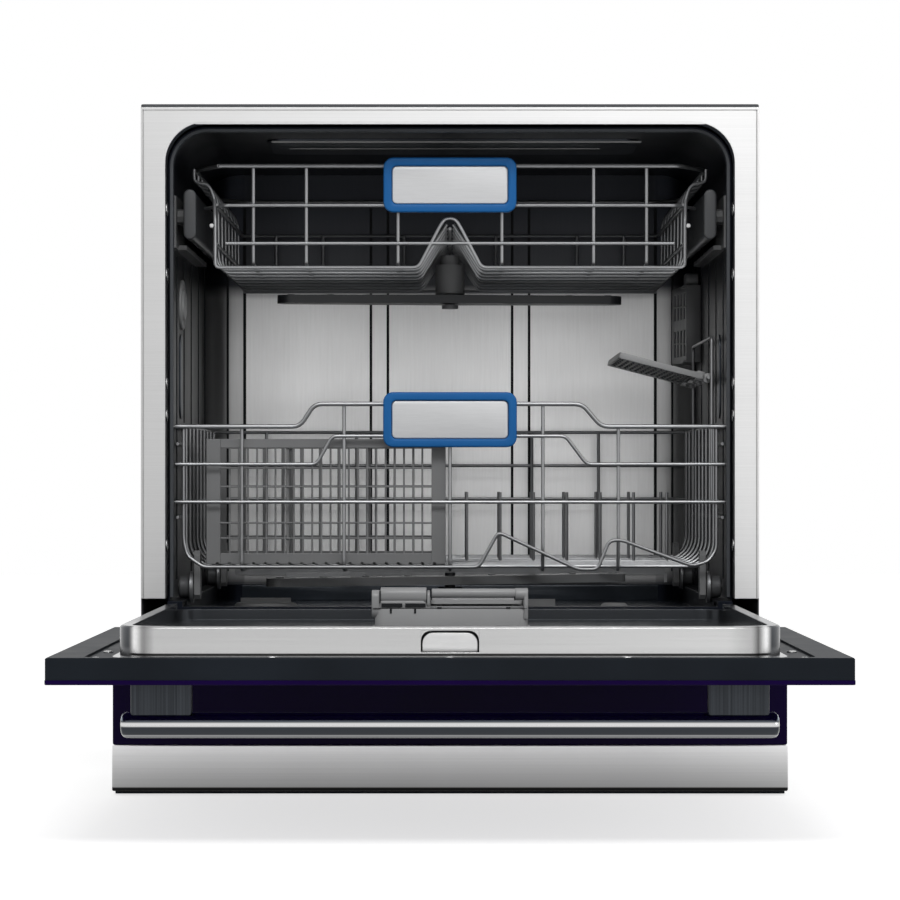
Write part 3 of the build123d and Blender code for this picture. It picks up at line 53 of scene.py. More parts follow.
SIDES = (-1, 1)
print("frame holds", len(nodes), "nodes")

# %% [markdown]
# The camera looks level at the middle of the machine from about 2.75 m, as the photograph does.
# Level walls stay upright that way, and a small shift brings the machine into the picture's middle.
# The picture is square, 900 pixels each way.

# %% Camera
picture_width = 900
focal_pixels = 3111
horizon_pixel = 476
camera_height = 280 * MM
camera_distance = 2752 * MM

camera_data = bpy.data.cameras.new("studio_camera")
camera_data.sensor_width = 36
camera_data.lens = focal_pixels * camera_data.sensor_width / picture_width
camera_data.shift_y = (horizon_pixel - picture_width / 2) / picture_width
camera_data.clip_end = 50
camera = bpy.data.objects.new("studio_camera", camera_data)
bpy.context.collection.objects.link(camera)
camera.location = (0, -camera_distance, camera_height)
camera.rotation_euler = (math.radians(90), 0, 0)
bpy.context.scene.camera = camera
print("lens", round(camera_data.lens, 1), "mm")

# %% [markdown]
# Shaders are built from nodes that feed each other. Two small helpers add a node and fill its
# sockets, either with a plain value or with the output of another node, so that each material
# below reads as a short recipe.

# %% Node helpers
def feed(tree, node, sockets):
    """Fills a node's sockets: each takes a plain value, or the output that gives its value."""
    for key, source in sockets.items():
        if isinstance(source, bpy.types.NodeSocket):
            tree.links.new(source, node.inputs[key])
        else:
            node.inputs[key].default_value = source


def add_node(tree, kind, sockets=None, **settings):
    """A new node with its settings made and its sockets filled."""
    node = tree.nodes.new(kind)
    for key, value in settings.items():
        setattr(node, key, value)
    feed(tree, node, sockets or {})
    return node


def larger(tree, first, second):
    """The larger of two values."""
    return add_node(tree, "ShaderNodeMath", {0: first, 1: second}, operation="MAXIMUM").outputs[0]


print("node helpers ready")

# %% [markdown]
# The studio is a pale floor, a white surround and wide soft lamps.
# The surround is white for the camera and for mirrors, and gives only a part of the light itself.
# The long lamp high in front lights the handle bar, and the bright line along the bar is also a painted
# highlight in its finish.

# %% Surround and lamps
scene = bpy.context.scene
scene.view_settings.view_transform = "Standard"
surround_light = 0.4

world = bpy.data.worlds.new("white_surround")
scene.world = world
world.use_nodes = True
tree = world.node_tree
rays = add_node(tree, "ShaderNodeLightPath").outputs
seen = larger(tree, rays["Is Camera Ray"], rays["Is Transmission Ray"])
seen_too = larger(tree, seen, rays["Is Glossy Ray"])
strength = add_node(tree, "ShaderNodeMapRange", {"Value": seen_too, "To Min": surround_light, "To Max": 1.0})
feed(tree, tree.nodes["Background"], {"Color": (1, 1, 1, 1), "Strength": strength.outputs["Result"]})


def soft_lamp(name, place, target, width, height, watts):
    """A wide soft lamp that looks at a point."""
    data = bpy.data.lights.new(name, "AREA")
    data.shape = "RECTANGLE"
    data.size = width
    data.size_y = height
    data.energy = watts
    lamp = bpy.data.objects.new(name, data)
    bpy.context.collection.objects.link(lamp)
    lamp.location = place
    aim = Vector(target) - Vector(place)
    lamp.rotation_euler = aim.to_track_quat("-Z", "Y").to_euler()


machine_middle = (0, 0.1, 0.32)
rack_middle = (0, 0.45, 0.3)
soft_lamp("long_lamp", (0.3, -2.3, 2.4), machine_middle, 3.2, 0.5, 13)
soft_lamp("right_lamp", (2.4, -1.6, 1.2), machine_middle, 1.6, 1.6, 9)
soft_lamp("inside_lamp", (0, -1.5, 1.45), rack_middle, 1.0, 0.5, 11)
print("surround and lamps ready")

# %% [markdown]
# The floor is a large plain sheet. It glows a little for the camera and for mirrors, so that it
# meets the white surround without an edge, and it still keeps the soft shadow of the machine.

# %% Floor
floor_glow = 0.66

bpy.ops.object.select_all(action="DESELECT")
bpy.ops.mesh.primitive_plane_add(size=12, location=(0, 0, 0))
floor = bpy.context.object
floor.name = "studio_floor"
floor_material = bpy.data.materials.new("studio_floor")
floor_material.use_nodes = True
tree = floor_material.node_tree
rays = add_node(tree, "ShaderNodeLightPath").outputs
seen = larger(tree, rays["Is Camera Ray"], rays["Is Glossy Ray"])
glow = add_node(tree, "ShaderNodeMath", {0: seen, 1: floor_glow}, operation="MULTIPLY")
feed(tree, tree.nodes["Principled BSDF"], {
    "Base Color": (0.82, 0.82, 0.82, 1),
    "Roughness": 0.9,
    "Specular IOR Level": 0.1,
    "Emission Color": (1, 1, 1, 1),
    "Emission Strength": glow.outputs[0],
})
floor.data.materials.append(floor_material)
print("floor ready")

# %% [markdown]
# Steel that has been brushed shows fine straight scratches, long one way and very short across.
# A noise that is stretched along one axis gives them, and it moves the colour, the roughness and
# the surface itself a little. Moulded plastic has no scratches but a fine even grain.
# Both effects are groups, built once and placed in each material with its own values.

# %% Shader groups
def new_group(name, entry, kind, value, outputs):
    """An empty shader group with one named input and its named outputs."""
    group = bpy.data.node_groups.new(name, "ShaderNodeTree")
    socket = group.interface.new_socket(name=entry, in_out="INPUT", socket_type=kind)
    socket.default_value = value
    for output in outputs:
        group.interface.new_socket(name=output, in_out="OUTPUT", socket_type="NodeSocketFloat")
    return group


def make_brushed_group():
    """Scratches along one axis: a mask for colour and roughness, and a height for bump."""
    group = new_group("brushed_scratches", "Spread", "NodeSocketVector", (4, 400, 400), ("Mask", "Cloud"))
    entry = add_node(group, "NodeGroupInput").outputs["Spread"]
    place = add_node(group, "ShaderNodeTexCoord").outputs["Object"]
    stretched = add_node(group, "ShaderNodeVectorMath", {0: place, 1: entry}, operation="MULTIPLY")
    scratches = add_node(group, "ShaderNodeTexNoise", {
        "Vector": stretched.outputs["Vector"], "Scale": 1, "Detail": 3, "Roughness": 0.6})
    cloud = add_node(group, "ShaderNodeTexNoise", {"Vector": place, "Scale": 9, "Detail": 2})
    add_node(group, "NodeGroupOutput", {"Mask": scratches.outputs["Fac"], "Cloud": cloud.outputs["Fac"]})
    return group


def make_grain_group():
    """Moulded plastic's fine grain and the faint clouds of handling on it."""
    group = new_group("moulded_grain", "Grain Scale", "NodeSocketFloat", 1500.0, ("Grain", "Cloud"))
    entry = add_node(group, "NodeGroupInput").outputs["Grain Scale"]
    place = add_node(group, "ShaderNodeTexCoord").outputs["Object"]
    grain = add_node(group, "ShaderNodeTexNoise", {"Vector": place, "Scale": entry, "Detail": 2})
    cloud = add_node(group, "ShaderNodeTexNoise", {"Vector": place, "Scale": 14, "Detail": 3})
    add_node(group, "NodeGroupOutput", {"Grain": grain.outputs["Fac"], "Cloud": cloud.outputs["Fac"]})
    return group


brushed_group = make_brushed_group()
grain_group = make_grain_group()
print("groups", brushed_group.name, grain_group.name)

# %% [markdown]
# Tones come from masks: a ramp turns a mask into a colour between two tints, and a remapped mask
# gives the roughness. On large steel parts the tone also follows the place on the piece: it is a painted
# reflection and painted shade, because each part of them mirrors something else; a ramp along one axis,
# with its stops in millimetres, is the plainest way to paint that. A number stands for an even grey.

# %% Tones
def grey(value, blue=0.0):
    """A grey with a touch of blue."""
    return (value, value * (1 + blue * 0.4), value * (1 + blue))


def greys(dark, light, blue=0.0):
    """The dark and the light tint of a finish, both with the same touch of blue."""
    return grey(dark, blue), grey(light, blue)


def as_colour(tone):
    """A tone with its alpha: a number is a grey, and the output of a node stays as it is."""
    if isinstance(tone, bpy.types.NodeSocket):
        return tone
    if isinstance(tone, (int, float)):
        return (tone, tone, tone, 1)
    return (*tone, 1)


def remap(tree, source, low, high):
    """A value that runs from low to high as the source runs from 0.25 to 0.75."""
    node = add_node(tree, "ShaderNodeMapRange", {
        "Value": source, "From Min": 0.25, "From Max": 0.75, "To Min": low, "To Max": high})
    return node.outputs["Result"]


def ramp_through(tree, source, stops):
    """A colour that runs through its stops, each a position from 0 to 1 and a tone."""
    ramp = add_node(tree, "ShaderNodeValToRGB", {"Fac": source})
    elements = ramp.color_ramp.elements
    for index, (position, tone) in enumerate(stops):
        stop = elements[index] if index < 2 else elements.new(position)
        stop.position = position
        stop.color = as_colour(tone)
    return ramp.outputs["Color"]


def tint_between(tree, source, tints):
    """A colour between a dark and a light tint, led by a mask."""
    return ramp_through(tree, source, [(0.3, tints[0]), (0.7, tints[1])])


def tone_along(tree, axis, stops):
    """A tone that changes along one axis of the piece; the stops are in millimetres."""
    place = add_node(tree, "ShaderNodeTexCoord").outputs["Object"]
    parts = add_node(tree, "ShaderNodeSeparateXYZ", {"Vector": place})
    low, high = stops[0][0], stops[-1][0]
    span = add_node(tree, "ShaderNodeMapRange", {
        "Value": parts.outputs[axis], "From Min": low * MM, "From Max": high * MM})
    places = [((at - low) / (high - low), tone) for at, tone in stops]
    return ramp_through(tree, span.outputs["Result"], places)


def mixed(tree, mask, first, second, blend="MIX"):
    """Two tones mixed by a mask."""
    sockets = {0: mask, 6: as_colour(first), 7: as_colour(second)}
    return add_node(tree, "ShaderNodeMix", sockets, data_type="RGBA", blend_type=blend).outputs[2]


print("tone helpers ready")

# %% [markdown]
# Three kinds of material cover the machine: metal with straight scratches in one even tone, the
# same metal with painted reflection and painted shade that follow the place, and moulded plastic. In all
# of them a bevel node softens the light on sharp edges, as the small real radius does, and a faint relief
# lies on it.

# %% Material makers
def rounded_edge_normal(tree, radius):
    """Softens a solid's sharp edges in the light, as a small real radius does."""
    return add_node(tree, "ShaderNodeBevel", {"Radius": radius}, samples=4).outputs["Normal"]


def relief(tree, source, lift, edge):
    """Raises the surface a little by a mask, over its rounded edges."""
    node = add_node(tree, "ShaderNodeBump", {
        "Height": source, "Strength": lift, "Distance": 0.0002, "Normal": rounded_edge_normal(tree, edge)})
    return node.outputs["Normal"]


def new_shader(name, metallic, specular):
    """An empty material with its plain values set on the shader itself."""
    material = bpy.data.materials.new(name)
    material.use_nodes = True
    tree = material.node_tree
    shader = tree.nodes["Principled BSDF"]
    feed(tree, shader, {"Metallic": metallic, "Specular IOR Level": specular})
    return material, tree, shader


def brushed_metal(name, tints, rough, spread, metallic=1.0, lift=0.05):
    """Metal with straight scratches along the axis whose spread is small."""
    material, tree, shader = new_shader(name, metallic, 0.5)
    group = add_node(tree, "ShaderNodeGroup", {"Spread": spread}, node_tree=brushed_group).outputs
    feed(tree, shader, {
        "Base Color": tint_between(tree, group["Mask"], tints),
        "Roughness": remap(tree, group["Cloud"], *rough),
        "Normal": relief(tree, group["Mask"], lift, 0.0005),
    })
    return material


def painted_light_steel(name, tone, rough, spread, metallic, lift=0.02):
    """Brushed steel with painted reflection and shade, which follow the place on the piece as a tone function
    gives them.
    """
    material, tree, shader = new_shader(name, metallic, 0.5)
    group = add_node(tree, "ShaderNodeGroup", {"Spread": spread}, node_tree=brushed_group).outputs
    streak = tint_between(tree, group["Mask"], greys(0.93, 1.0))
    feed(tree, shader, {
        "Base Color": mixed(tree, 1.0, tone(tree), streak, "MULTIPLY"),
        "Roughness": remap(tree, group["Cloud"], *rough),
        "Normal": relief(tree, group["Mask"], lift, 0.0008),
    })
    return material


def moulded_plastic(name, tints, rough, specular=0.4, grain_scale=1500.0):
    """Plastic with a fine grain and faint clouds in its tone."""
    material, tree, shader = new_shader(name, 0.0, specular)
    group = add_node(tree, "ShaderNodeGroup", {"Grain Scale": grain_scale}, node_tree=grain_group).outputs
    feed(tree, shader, {
        "Base Color": tint_between(tree, group["Cloud"], tints),
        "Roughness": remap(tree, group["Cloud"], *rough),
        "Normal": relief(tree, group["Grain"], 0.08, 0.0006),
    })
    return material


def painted_glass(name, colour):
    """Painted glass: a dark colour under a smooth clear face."""
    material, tree, shader = new_shader(name, 0.0, 0.03)
    cloud = add_node(tree, "ShaderNodeGroup", {"Grain Scale": 60.0}, node_tree=grain_group).outputs["Cloud"]
    lighter = tuple(c * 1.25 for c in colour)
    feed(tree, shader, {
        "Base Color": tint_between(tree, cloud, (colour, lighter)),
        "Roughness": remap(tree, cloud, 0.05, 0.09),
        "Normal": rounded_edge_normal(tree, 0.0006),
    })
    return material


print("material makers ready")

# %% [markdown]
# Each finish below is one material of the real machine, except four: the dark steel of the ceiling and wall
# beads and the dark pan finish are painted shade inside the tub, the channel finish is painted shade in
# grooves and seams, and the pale edge finish is painted highlight on the ceiling's edges and painted shade at
# the frame's fold.
# The wires are coated a silvery grey, the glass of door and fascia is a very dark violet, and most
# plastic is a plain grey. Metals give the dark and light tint, the range of their roughness, the
# spread of their scratches along X, Y and Z, and then how metallic and how raised they are.
# Plastics give the tints, the roughness, and then their sheen and the scale of their grain.

# %% Even finishes
metals = {
    "post_steel": (greys(0.025, 0.05, 0.25), (0.35, 0.45), (700, 60, 3)),
    "rail_steel": (greys(0.08, 0.11, 0.15), (0.3, 0.4), (300, 4, 300)),
    "wire_coat": (greys(0.27, 0.31, 0.04), (0.3, 0.38), (25, 25, 25), 0.7, 0.0),
    "zinc_sheet": (greys(0.5, 0.58, 0.03), (0.42, 0.55), (110, 110, 110), 0.8, 0.01),
    "plate_silver": (greys(0.6, 0.64, 0.02), (0.36, 0.42), (60, 60, 900), 0.35, 0.01),
    "tongue_steel": (greys(0.6, 0.66), (0.3, 0.36), (60, 60, 400), 0.6, 0.01),
    # Painted highlight on the ceiling panel's front edges, and painted shade at the frame's fold.
    "edge_highlight_and_fold_shade": (greys(0.3, 0.36), (0.3, 0.36), (20, 90, 90), 0.6, 0.01),
    # Painted shade: the dark floor of the tub and the band behind its tabs.
    "pan_painted_shade": (greys(0.035, 0.05, 0.5), (0.14, 0.22), (40, 40, 40), 0.35, 0.01),
    "skirt_steel": (greys(0.34, 0.4, 0.04), (0.3, 0.4), (40, 40, 8), 0.7),
    # Painted shade: tub steel made dark for the ceiling panel and the wall beads, which lie in shade.
    "tub_steel_in_shade": (greys(0.07, 0.09, 0.3), (0.3, 0.4), (40, 8, 40), 0.8),
    "ring_steel": (greys(0.4, 0.5), (0.2, 0.3), (90, 90, 90)),
    "wheel_plastic": (greys(0.15, 0.19, 0.06), (0.3, 0.4), (90, 90, 90), 0.5),
}
plastics = {
    "dark_paint": (greys(0.05, 0.06, 0.15), (0.42, 0.5), 0.3, 900.0),
    "navy_plastic": (greys(0.009, 0.013, 0.7), (0.42, 0.5), 0.06),
    "gasket_rubber": (greys(0.045, 0.065, 0.25), (0.45, 0.55)),
    "grey_plastic": (greys(0.17, 0.2, 0.03), (0.4, 0.5)),
    "mid_plastic": (greys(0.29, 0.33, 0.02), (0.34, 0.42), 0.5),
    "charcoal_plastic": (greys(0.022, 0.03, 0.2), (0.36, 0.46)),
    "pale_plastic": (greys(0.6, 0.66), (0.4, 0.5)),
    "handle_blue": (((0.012, 0.12, 0.36), (0.015, 0.14, 0.4)), (0.34, 0.4), 0.16),
    "circuit_green": (((0.01, 0.12, 0.05), (0.02, 0.16, 0.07)), (0.3, 0.4)),
    "arm_grey": (greys(0.24, 0.27, 0.04), (0.3, 0.4)),
    "rim_plastic": (greys(0.3, 0.34, 0.02), (0.36, 0.44)),
    "channel_shadow": (greys(0.008, 0.012, 0.3), (0.5, 0.6), 0.2),
    "basket_plastic": (greys(0.17, 0.2, 0.03), (0.36, 0.46)),
    "cap_plastic": (greys(0.055, 0.07, 0.1), (0.34, 0.42), 0.3),
    "white_pin": (greys(0.78, 0.82), (0.2, 0.28)),
    "vent_plastic": (greys(0.2, 0.23, 0.04), (0.34, 0.44)),
    "pale_cap": (greys(0.3, 0.34, 0.02), (0.3, 0.4)),
}
finish = {name: brushed_metal(name, *values) for name, values in metals.items()}
finish.update({name: moulded_plastic(name, *values) for name, values in plastics.items()})
finish["violet_glass"] = painted_glass("violet_glass", (0.0065, 0.0005, 0.036))
print(len(finish), "even finishes")

# %% [markdown]
# The large steel parts mirror their surroundings, and that reflection and shade are painted into their tone,
# which changes from place to place. The tub is painted pale only on its open back wall and dark as shade
# elsewhere, the frame's plate is painted pale before a collar painted dark, the door's inner panel has
# painted bright bands at its rounded corners, and the handle bar has a painted bright line.

# %% Finishes with painted reflection and shade
# Painted shade: the dark tone of the tub wherever it lies in shade.
tub_shade_navy = (0.006, 0.008, 0.014)


def tub_painted_light(tree):
    """Painted reflection and shade: dark near the door, on the floor and above the racks, pale on the open
    back wall between them.
    """
    # Painted reflection: dark near the door, pale towards the back wall.
    depth = tone_along(tree, "Y", [
        (20, tub_shade_navy), (190, tub_shade_navy), (250, grey(0.06, 0.1)), (330, grey(0.13, 0.08)), (420, grey(0.26, 0.05)),
        (446, grey(0.75, 0.01)), (455, 1.0)])
    # Painted shade on the floor and from the upper rack upwards; pale only in the band between.
    band_out_of_shade = tone_along(tree, "Z", [
        (150, 0.0), (168, 0.0), (184, 1.0), (462, 1.0), (476, 0.06), (560, 0.02), (600, 0.02)])
    # Painted shade on the side walls, half as bright as the back wall.
    sides = tone_along(tree, "X", [
        (-250, 0.5), (-213, 0.5), (-210.5, 1.0), (210.5, 1.0), (213, 0.5), (250, 0.5)])
    return mixed(tree, band_out_of_shade, tub_shade_navy, mixed(tree, 1.0, depth, sides, "MULTIPLY"))


def frame_painted_light(tree):
    """Painted light: the plate in front is pale and painted a little brighter to the right, and the collar
    behind it is painted dark, with paler painted reflections in bands up its height.
    """
    plate = tone_along(tree, "X", [(-275, 0.56), (0, 0.64), (275, 0.76)])
    collar = tone_along(tree, "Z", [
        (150, grey(0.12, 0.1)), (260, grey(0.24, 0.05)), (420, grey(0.12, 0.1)), (500, grey(0.06, 0.3)),
        (560, grey(0.08, 0.3)), (600, grey(0.2, 0.3))])
    behind = tone_along(tree, "Y", [(-4, 0.0), (1.0, 0.0), (2.2, 1.0), (6, 1.0)])
    return mixed(tree, behind, plate, collar)


def liner_painted_reflection(tree):
    """Painted reflection: bright on the wall that faces the kitchen, with painted bright bands at its rounded
    corners and a painted dark line along its fold; the well and the sides are painted darker, as the
    reflection of the dark tub."""
    front = tone_along(tree, "X", [
        (-247, 0.1), (-245, 0.6), (-242.5, 0.16), (-237, 0.2), (-233, 0.95), (-227, 0.22), (-218, 0.5),
        (0, 0.52), (205, 0.6), (223, 0.45), (228, 0.1), (234, 0.95), (238, 0.5), (242, 0.12), (245, 0.6),
        (247, 0.2)])
    inside = tone_along(tree, "Z", [
        (144, grey(0.3, 0.05)), (154, grey(0.045, 0.2)), (164, grey(0.06, 0.2)), (168.6, grey(0.07, 0.2)),
        (169, grey(0.08, 0.2))])
    behind = tone_along(tree, "Y", [(-472, 0.0), (-451, 0.0), (-448, 1.0), (-30, 1.0)])
    # Painted shade: a dark line along the fold of the front wall.
    fold = tone_along(tree, "Z", [
        (144, 1.0), (147.0, 1.0), (147.5, 0.04), (148.7, 0.04), (149.4, 1.0), (166, 1.0), (169, 0.85)])
    return mixed(tree, behind, mixed(tree, 1.0, front, fold, "MULTIPLY"), inside)


def strip_painted_reflection(tree):
    """Painted reflection: the kick strip is painted lighter towards its top and almost black along its bottom
    edge.
    """
    return tone_along(tree, "Z", [
        (3, 0.004), (6.4, 0.004), (7.4, 0.38), (20, 0.52), (34, 0.7), (43, 0.86), (44.5, 0.95)])


def bar_painted_highlight(tree):
    """Painted highlight: the polished bar is painted with a bright line along its middle and a thin one
    below, and painted lighter towards its top.
    """
    return tone_along(tree, "Z", [
        (84, grey(0.02, 0.3)), (85.6, grey(0.03, 0.3)), (86.4, 0.34), (87.6, grey(0.04, 0.2)),
        (93.0, grey(0.03, 0.3)), (94.2, 0.6), (95.8, 0.75), (97.2, grey(0.05, 0.3)),
        (99, grey(0.25, 0.4)), (104.2, grey(0.4, 0.4))])


# Painted reflection, shade and highlights of the large steel parts, each from its tone function.
painted_light_steels = {
    "frame_steel": (frame_painted_light, (0.36, 0.42), (3, 60, 900), 0.7),
    "tub_steel": (tub_painted_light, (0.34, 0.42), (400, 400, 20), 0.88, 0.01),
    "liner_steel": (liner_painted_reflection, (0.16, 0.24), (5, 300, 500), 0.85),
    "strip_steel": (strip_painted_reflection, (0.3, 0.36), (3, 60, 900), 0.8),
    "bar_chrome": (bar_painted_highlight, (0.1, 0.14), (3, 300, 300), 1.0, 0.005),
}
finish.update({name: painted_light_steel(name, *values) for name, values in painted_light_steels.items()})
print(len(finish), "finishes")

# %% [markdown]
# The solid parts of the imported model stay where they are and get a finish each. Most of them show
# as they are; those that a finer piece below stands for are hidden there.

# %% Finish of every solid part
dress = {
    "frame_steel": ["front_frame"],
    "tub_steel": ["tub", "filter_plate"],
    "liner_steel": ["door_liner"],
    "ring_steel": ["liner_screws"],
    "strip_steel": ["kick_strip"],
    "post_steel": ["handle_posts"],
    "bar_chrome": ["handle_bar", "hinge_pins"],
    "rail_steel": ["upper_rack_rails"],
    "wire_coat": ["upper_rack_wires", "lower_rack_wires", "front_tines", "rear_tines"],
    "zinc_sheet": ["rear_panel"],
    "dark_paint": ["top_cover", "side_panels", "hinge_brackets", "hinge_arms"],
    "navy_plastic": ["door_frame", "fascia_carrier", "base_tray", "latch_housing", "levelling_feet"],
    "gasket_rubber": ["tub_gasket"],
    "grey_plastic": ["cutlery_basket", "cup_shelf", "wheel_clips", "roller_mounts", "salt_cap", "filter_cup",
                     "air_break_cap", "vent_grille", "overflow_float", "feed_tube", "front_wheels",
                     "rear_wheels", "front_wall_rollers", "rear_wall_rollers"],
    "mid_plastic": ["dispenser_body", "rinse_cap", "detergent_lid", "latch_bolt"],
    "charcoal_plastic": ["upper_spray_arm", "rail_caps", "sump", "wash_pump", "drain_pump"],
    "arm_grey": ["lower_spray_arm"],
    "pale_plastic": ["inlet_valve", "water_softener", "air_break", "riser_pipe"],
    "handle_blue": ["upper_handle_frame", "lower_handle_frame"],
    "plate_silver": ["upper_handle_plate", "lower_handle_plate"],
    "circuit_green": ["control_board"],
    "violet_glass": ["door_glass", "fascia_glass"],
}


def dress_node(name, material):
    """Gives a solid part its finish, in every slot that it has."""
    mesh = nodes[name].data
    if not mesh.materials:
        mesh.materials.append(material)
    for index in range(len(mesh.materials)):
        mesh.materials[index] = material


for key, names in dress.items():
    for name in names:
        dress_node(name, finish[key])
dressed = {name for names in dress.values() for name in names}
print("solids left plain:", sorted(set(nodes) - dressed))

# %% [markdown]
# The pieces that are made here are modelled as by hand. These helpers do what a hand does without
# thinking: let go of everything, take one piece, join several, and put a modifier on and apply it.
# A finished piece is settled: its place goes into its mesh, its seams are closed, it gets its
# name, its finish and the body it rides on, and the solid part that it stands for is hidden.

# %% Handling helpers
def let_go():
    """Leaves edit mode and deselects everything, because an operator acts on all that is selected."""
    if bpy.context.object and bpy.context.object.mode != "OBJECT":
        bpy.ops.object.mode_set(mode="OBJECT")
    bpy.ops.object.select_all(action="DESELECT")


def take(piece):
    """Selects one piece and makes it the active one."""
    let_go()
    piece.select_set(True)
    bpy.context.view_layer.objects.active = piece


def write_place():
    """Writes the selected piece's place, turn and scale into its mesh."""
    bpy.ops.object.transform_apply(location=True, rotation=True, scale=True)


def close_seams(reach):
    """Merges the points of the active piece that nearly touch, and turns its faces outwards."""
    bpy.ops.object.mode_set(mode="EDIT")
    bpy.ops.mesh.select_all(action="SELECT")
    bpy.ops.mesh.remove_doubles(threshold=reach * MM)
    bpy.ops.mesh.normals_make_consistent(inside=False)
    bpy.ops.object.mode_set(mode="OBJECT")


def settle(piece, name, material, body, stands_for=None, angle=35, clean=True):
    """Settles a piece at the origin, gives it its name, finish and body, and hides the solid part that it
    stands for.
    """
    take(piece)
    write_place()
    if clean:
        close_seams(0.005)
    bpy.ops.object.shade_smooth_by_angle(angle=math.radians(angle))
    piece.name = name
    piece.data.name = name
    piece.data.materials.clear()
    piece.data.materials.append(finish[material])
    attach(piece, body)
    if stands_for:
        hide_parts(stands_for)


def join(pieces):
    """Makes one object of several."""
    let_go()
    for piece in pieces:
        piece.select_set(True)
    bpy.context.view_layer.objects.active = pieces[0]
    if len(pieces) > 1:
        bpy.ops.object.join()
    return bpy.context.object


def apply_modifier(piece, kind, **settings):
    """Adds a modifier with its settings and applies it at once."""
    take(piece)
    modifier = piece.modifiers.new(kind.lower(), kind)
    for key, value in settings.items():
        setattr(modifier, key, value)
    bpy.ops.object.modifier_apply(modifier=modifier.name)
    return piece


def round_edges(piece, width, segments=2, angle=40):
    """A small radius on every edge that is sharper than the angle."""
    return apply_modifier(piece, "BEVEL", width=width * MM, segments=segments, limit_method="ANGLE",
                          angle_limit=math.radians(angle))


def cut(piece, tool):
    """Cuts the tool's shape out of the piece and removes the tool."""
    apply_modifier(piece, "BOOLEAN", operation="DIFFERENCE", object=tool, solver="EXACT")
    bpy.data.objects.remove(tool)
    return piece


def spread(low, high, count):
    """Evenly spaced places from low to high."""
    return [low + (high - low) * i / (count - 1) for i in range(count)]


print("handling helpers ready")

# %% [markdown]
# Every piece starts from one of four shapes: a block between two corners, a plate with rounded
# corners, a round bar, or a turned piece whose profile is spun round its axis. Sizes are written
# in millimetres and turned into metres where a mesh is made.

# %% Shape helpers
quarter = math.radians(90)


def block(low, high):
    """A box between two corners, in millimetres."""
    let_go()
    middle = [(a + b) / 2 * MM for a, b in zip(low, high)]
    bpy.ops.mesh.primitive_cube_add(size=1, location=middle)
    piece = bpy.context.object
    piece.scale = [(b - a) * MM for a, b in zip(low, high)]
    write_place()
    return piece


def blocks(*corners):
    """Several boxes, each given by its two corners."""
    return [block(low, high) for low, high in corners]


def slab(axis, place, width, height, depth, corner, segments=6):
    """A plate with rounded corners: drawn flat, its corners bevelled, extruded, then turned to its axis.
    Along Y it grows from its place towards the front, along X to the right, along Z upwards."""
    let_go()
    bpy.ops.mesh.primitive_plane_add(size=1)
    piece = bpy.context.object
    piece.scale = (width * MM, height * MM, 1)
    write_place()
    bpy.ops.object.mode_set(mode="EDIT")
    bpy.ops.mesh.select_all(action="SELECT")
    bpy.ops.mesh.bevel(offset=corner * MM, segments=segments, affect="VERTICES")
    bpy.ops.mesh.select_all(action="SELECT")
    bpy.ops.mesh.extrude_region_move(TRANSFORM_OT_translate={"value": (0, 0, depth * MM)})
    bpy.ops.object.mode_set(mode="OBJECT")
    piece.rotation_euler = {"X": (quarter, 0, quarter), "Y": (quarter, 0, 0), "Z": (0, 0, 0)}[axis]
    piece.location = [v * MM for v in place]
    write_place()
    return piece


def drum(axis, place, radius, length, vertices=32):
    """A round bar whose middle is at its place."""
    let_go()
    turn = {"X": (0, quarter, 0), "Y": (quarter, 0, 0), "Z": (0, 0, 0)}[axis]
    bpy.ops.mesh.primitive_cylinder_add(vertices=vertices, radius=radius * MM, depth=length * MM,
                                        location=[v * MM for v in place], rotation=turn)
    return bpy.context.object


def spun(profile, axis, place, steps=40):
    """A turned piece: a profile of (along the axis, radius) points that is spun round its axis."""
    let_go()
    bpy.ops.mesh.primitive_plane_add(size=0.001)
    piece = bpy.context.object
    bpy.ops.object.mode_set(mode="EDIT")
    bpy.ops.mesh.select_all(action="SELECT")
    bpy.ops.mesh.delete(type="VERT")
    mesh = bmesh.from_edit_mesh(piece.data)
    line = [mesh.verts.new((along * MM, 0, radius * MM)) for along, radius in profile]
    for first, second in zip(line, line[1:]):
        mesh.edges.new((first, second))
    bmesh.update_edit_mesh(piece.data)
    bpy.ops.mesh.select_all(action="SELECT")
    bpy.ops.mesh.spin(steps=steps, angle=math.tau, center=(0, 0, 0), axis=(1, 0, 0))
    close_seams(0.002)
    piece.rotation_euler = {"X": (0, 0, 0), "Y": (0, 0, quarter), "Z": (0, -quarter, 0)}[axis]
    piece.location = [v * MM for v in place]
    write_place()
    return piece


print("shape helpers ready")

# %% [markdown]
# A rack is a basket of welded wire. A wire is drawn as a run of points, and each corner of the run
# becomes a short arc, as the bending machine leaves it. The curve then gets its thickness and is
# made a mesh. Many runs are the same to the left and right, so half of one is drawn and mirrored.

# %% Wire helpers
arc_steps = 4


def bent(points, bend):
    """The run of a wire with each corner turned into a short arc, in metres."""
    corners = [Vector(p) * MM for p in points]
    run = [corners[0]]
    for before, corner, after in zip(corners, corners[1:], corners[2:]):
        reach = min(bend * MM, (before - corner).length * 0.48, (after - corner).length * 0.48)
        start = corner + (before - corner).normalized() * reach
        end = corner + (after - corner).normalized() * reach
        for step in range(arc_steps + 1):
            t = step / arc_steps
            run.append(start * (1 - t) ** 2 + corner * (2 * t * (1 - t)) + end * t * t)
    run.append(corners[-1])
    return run


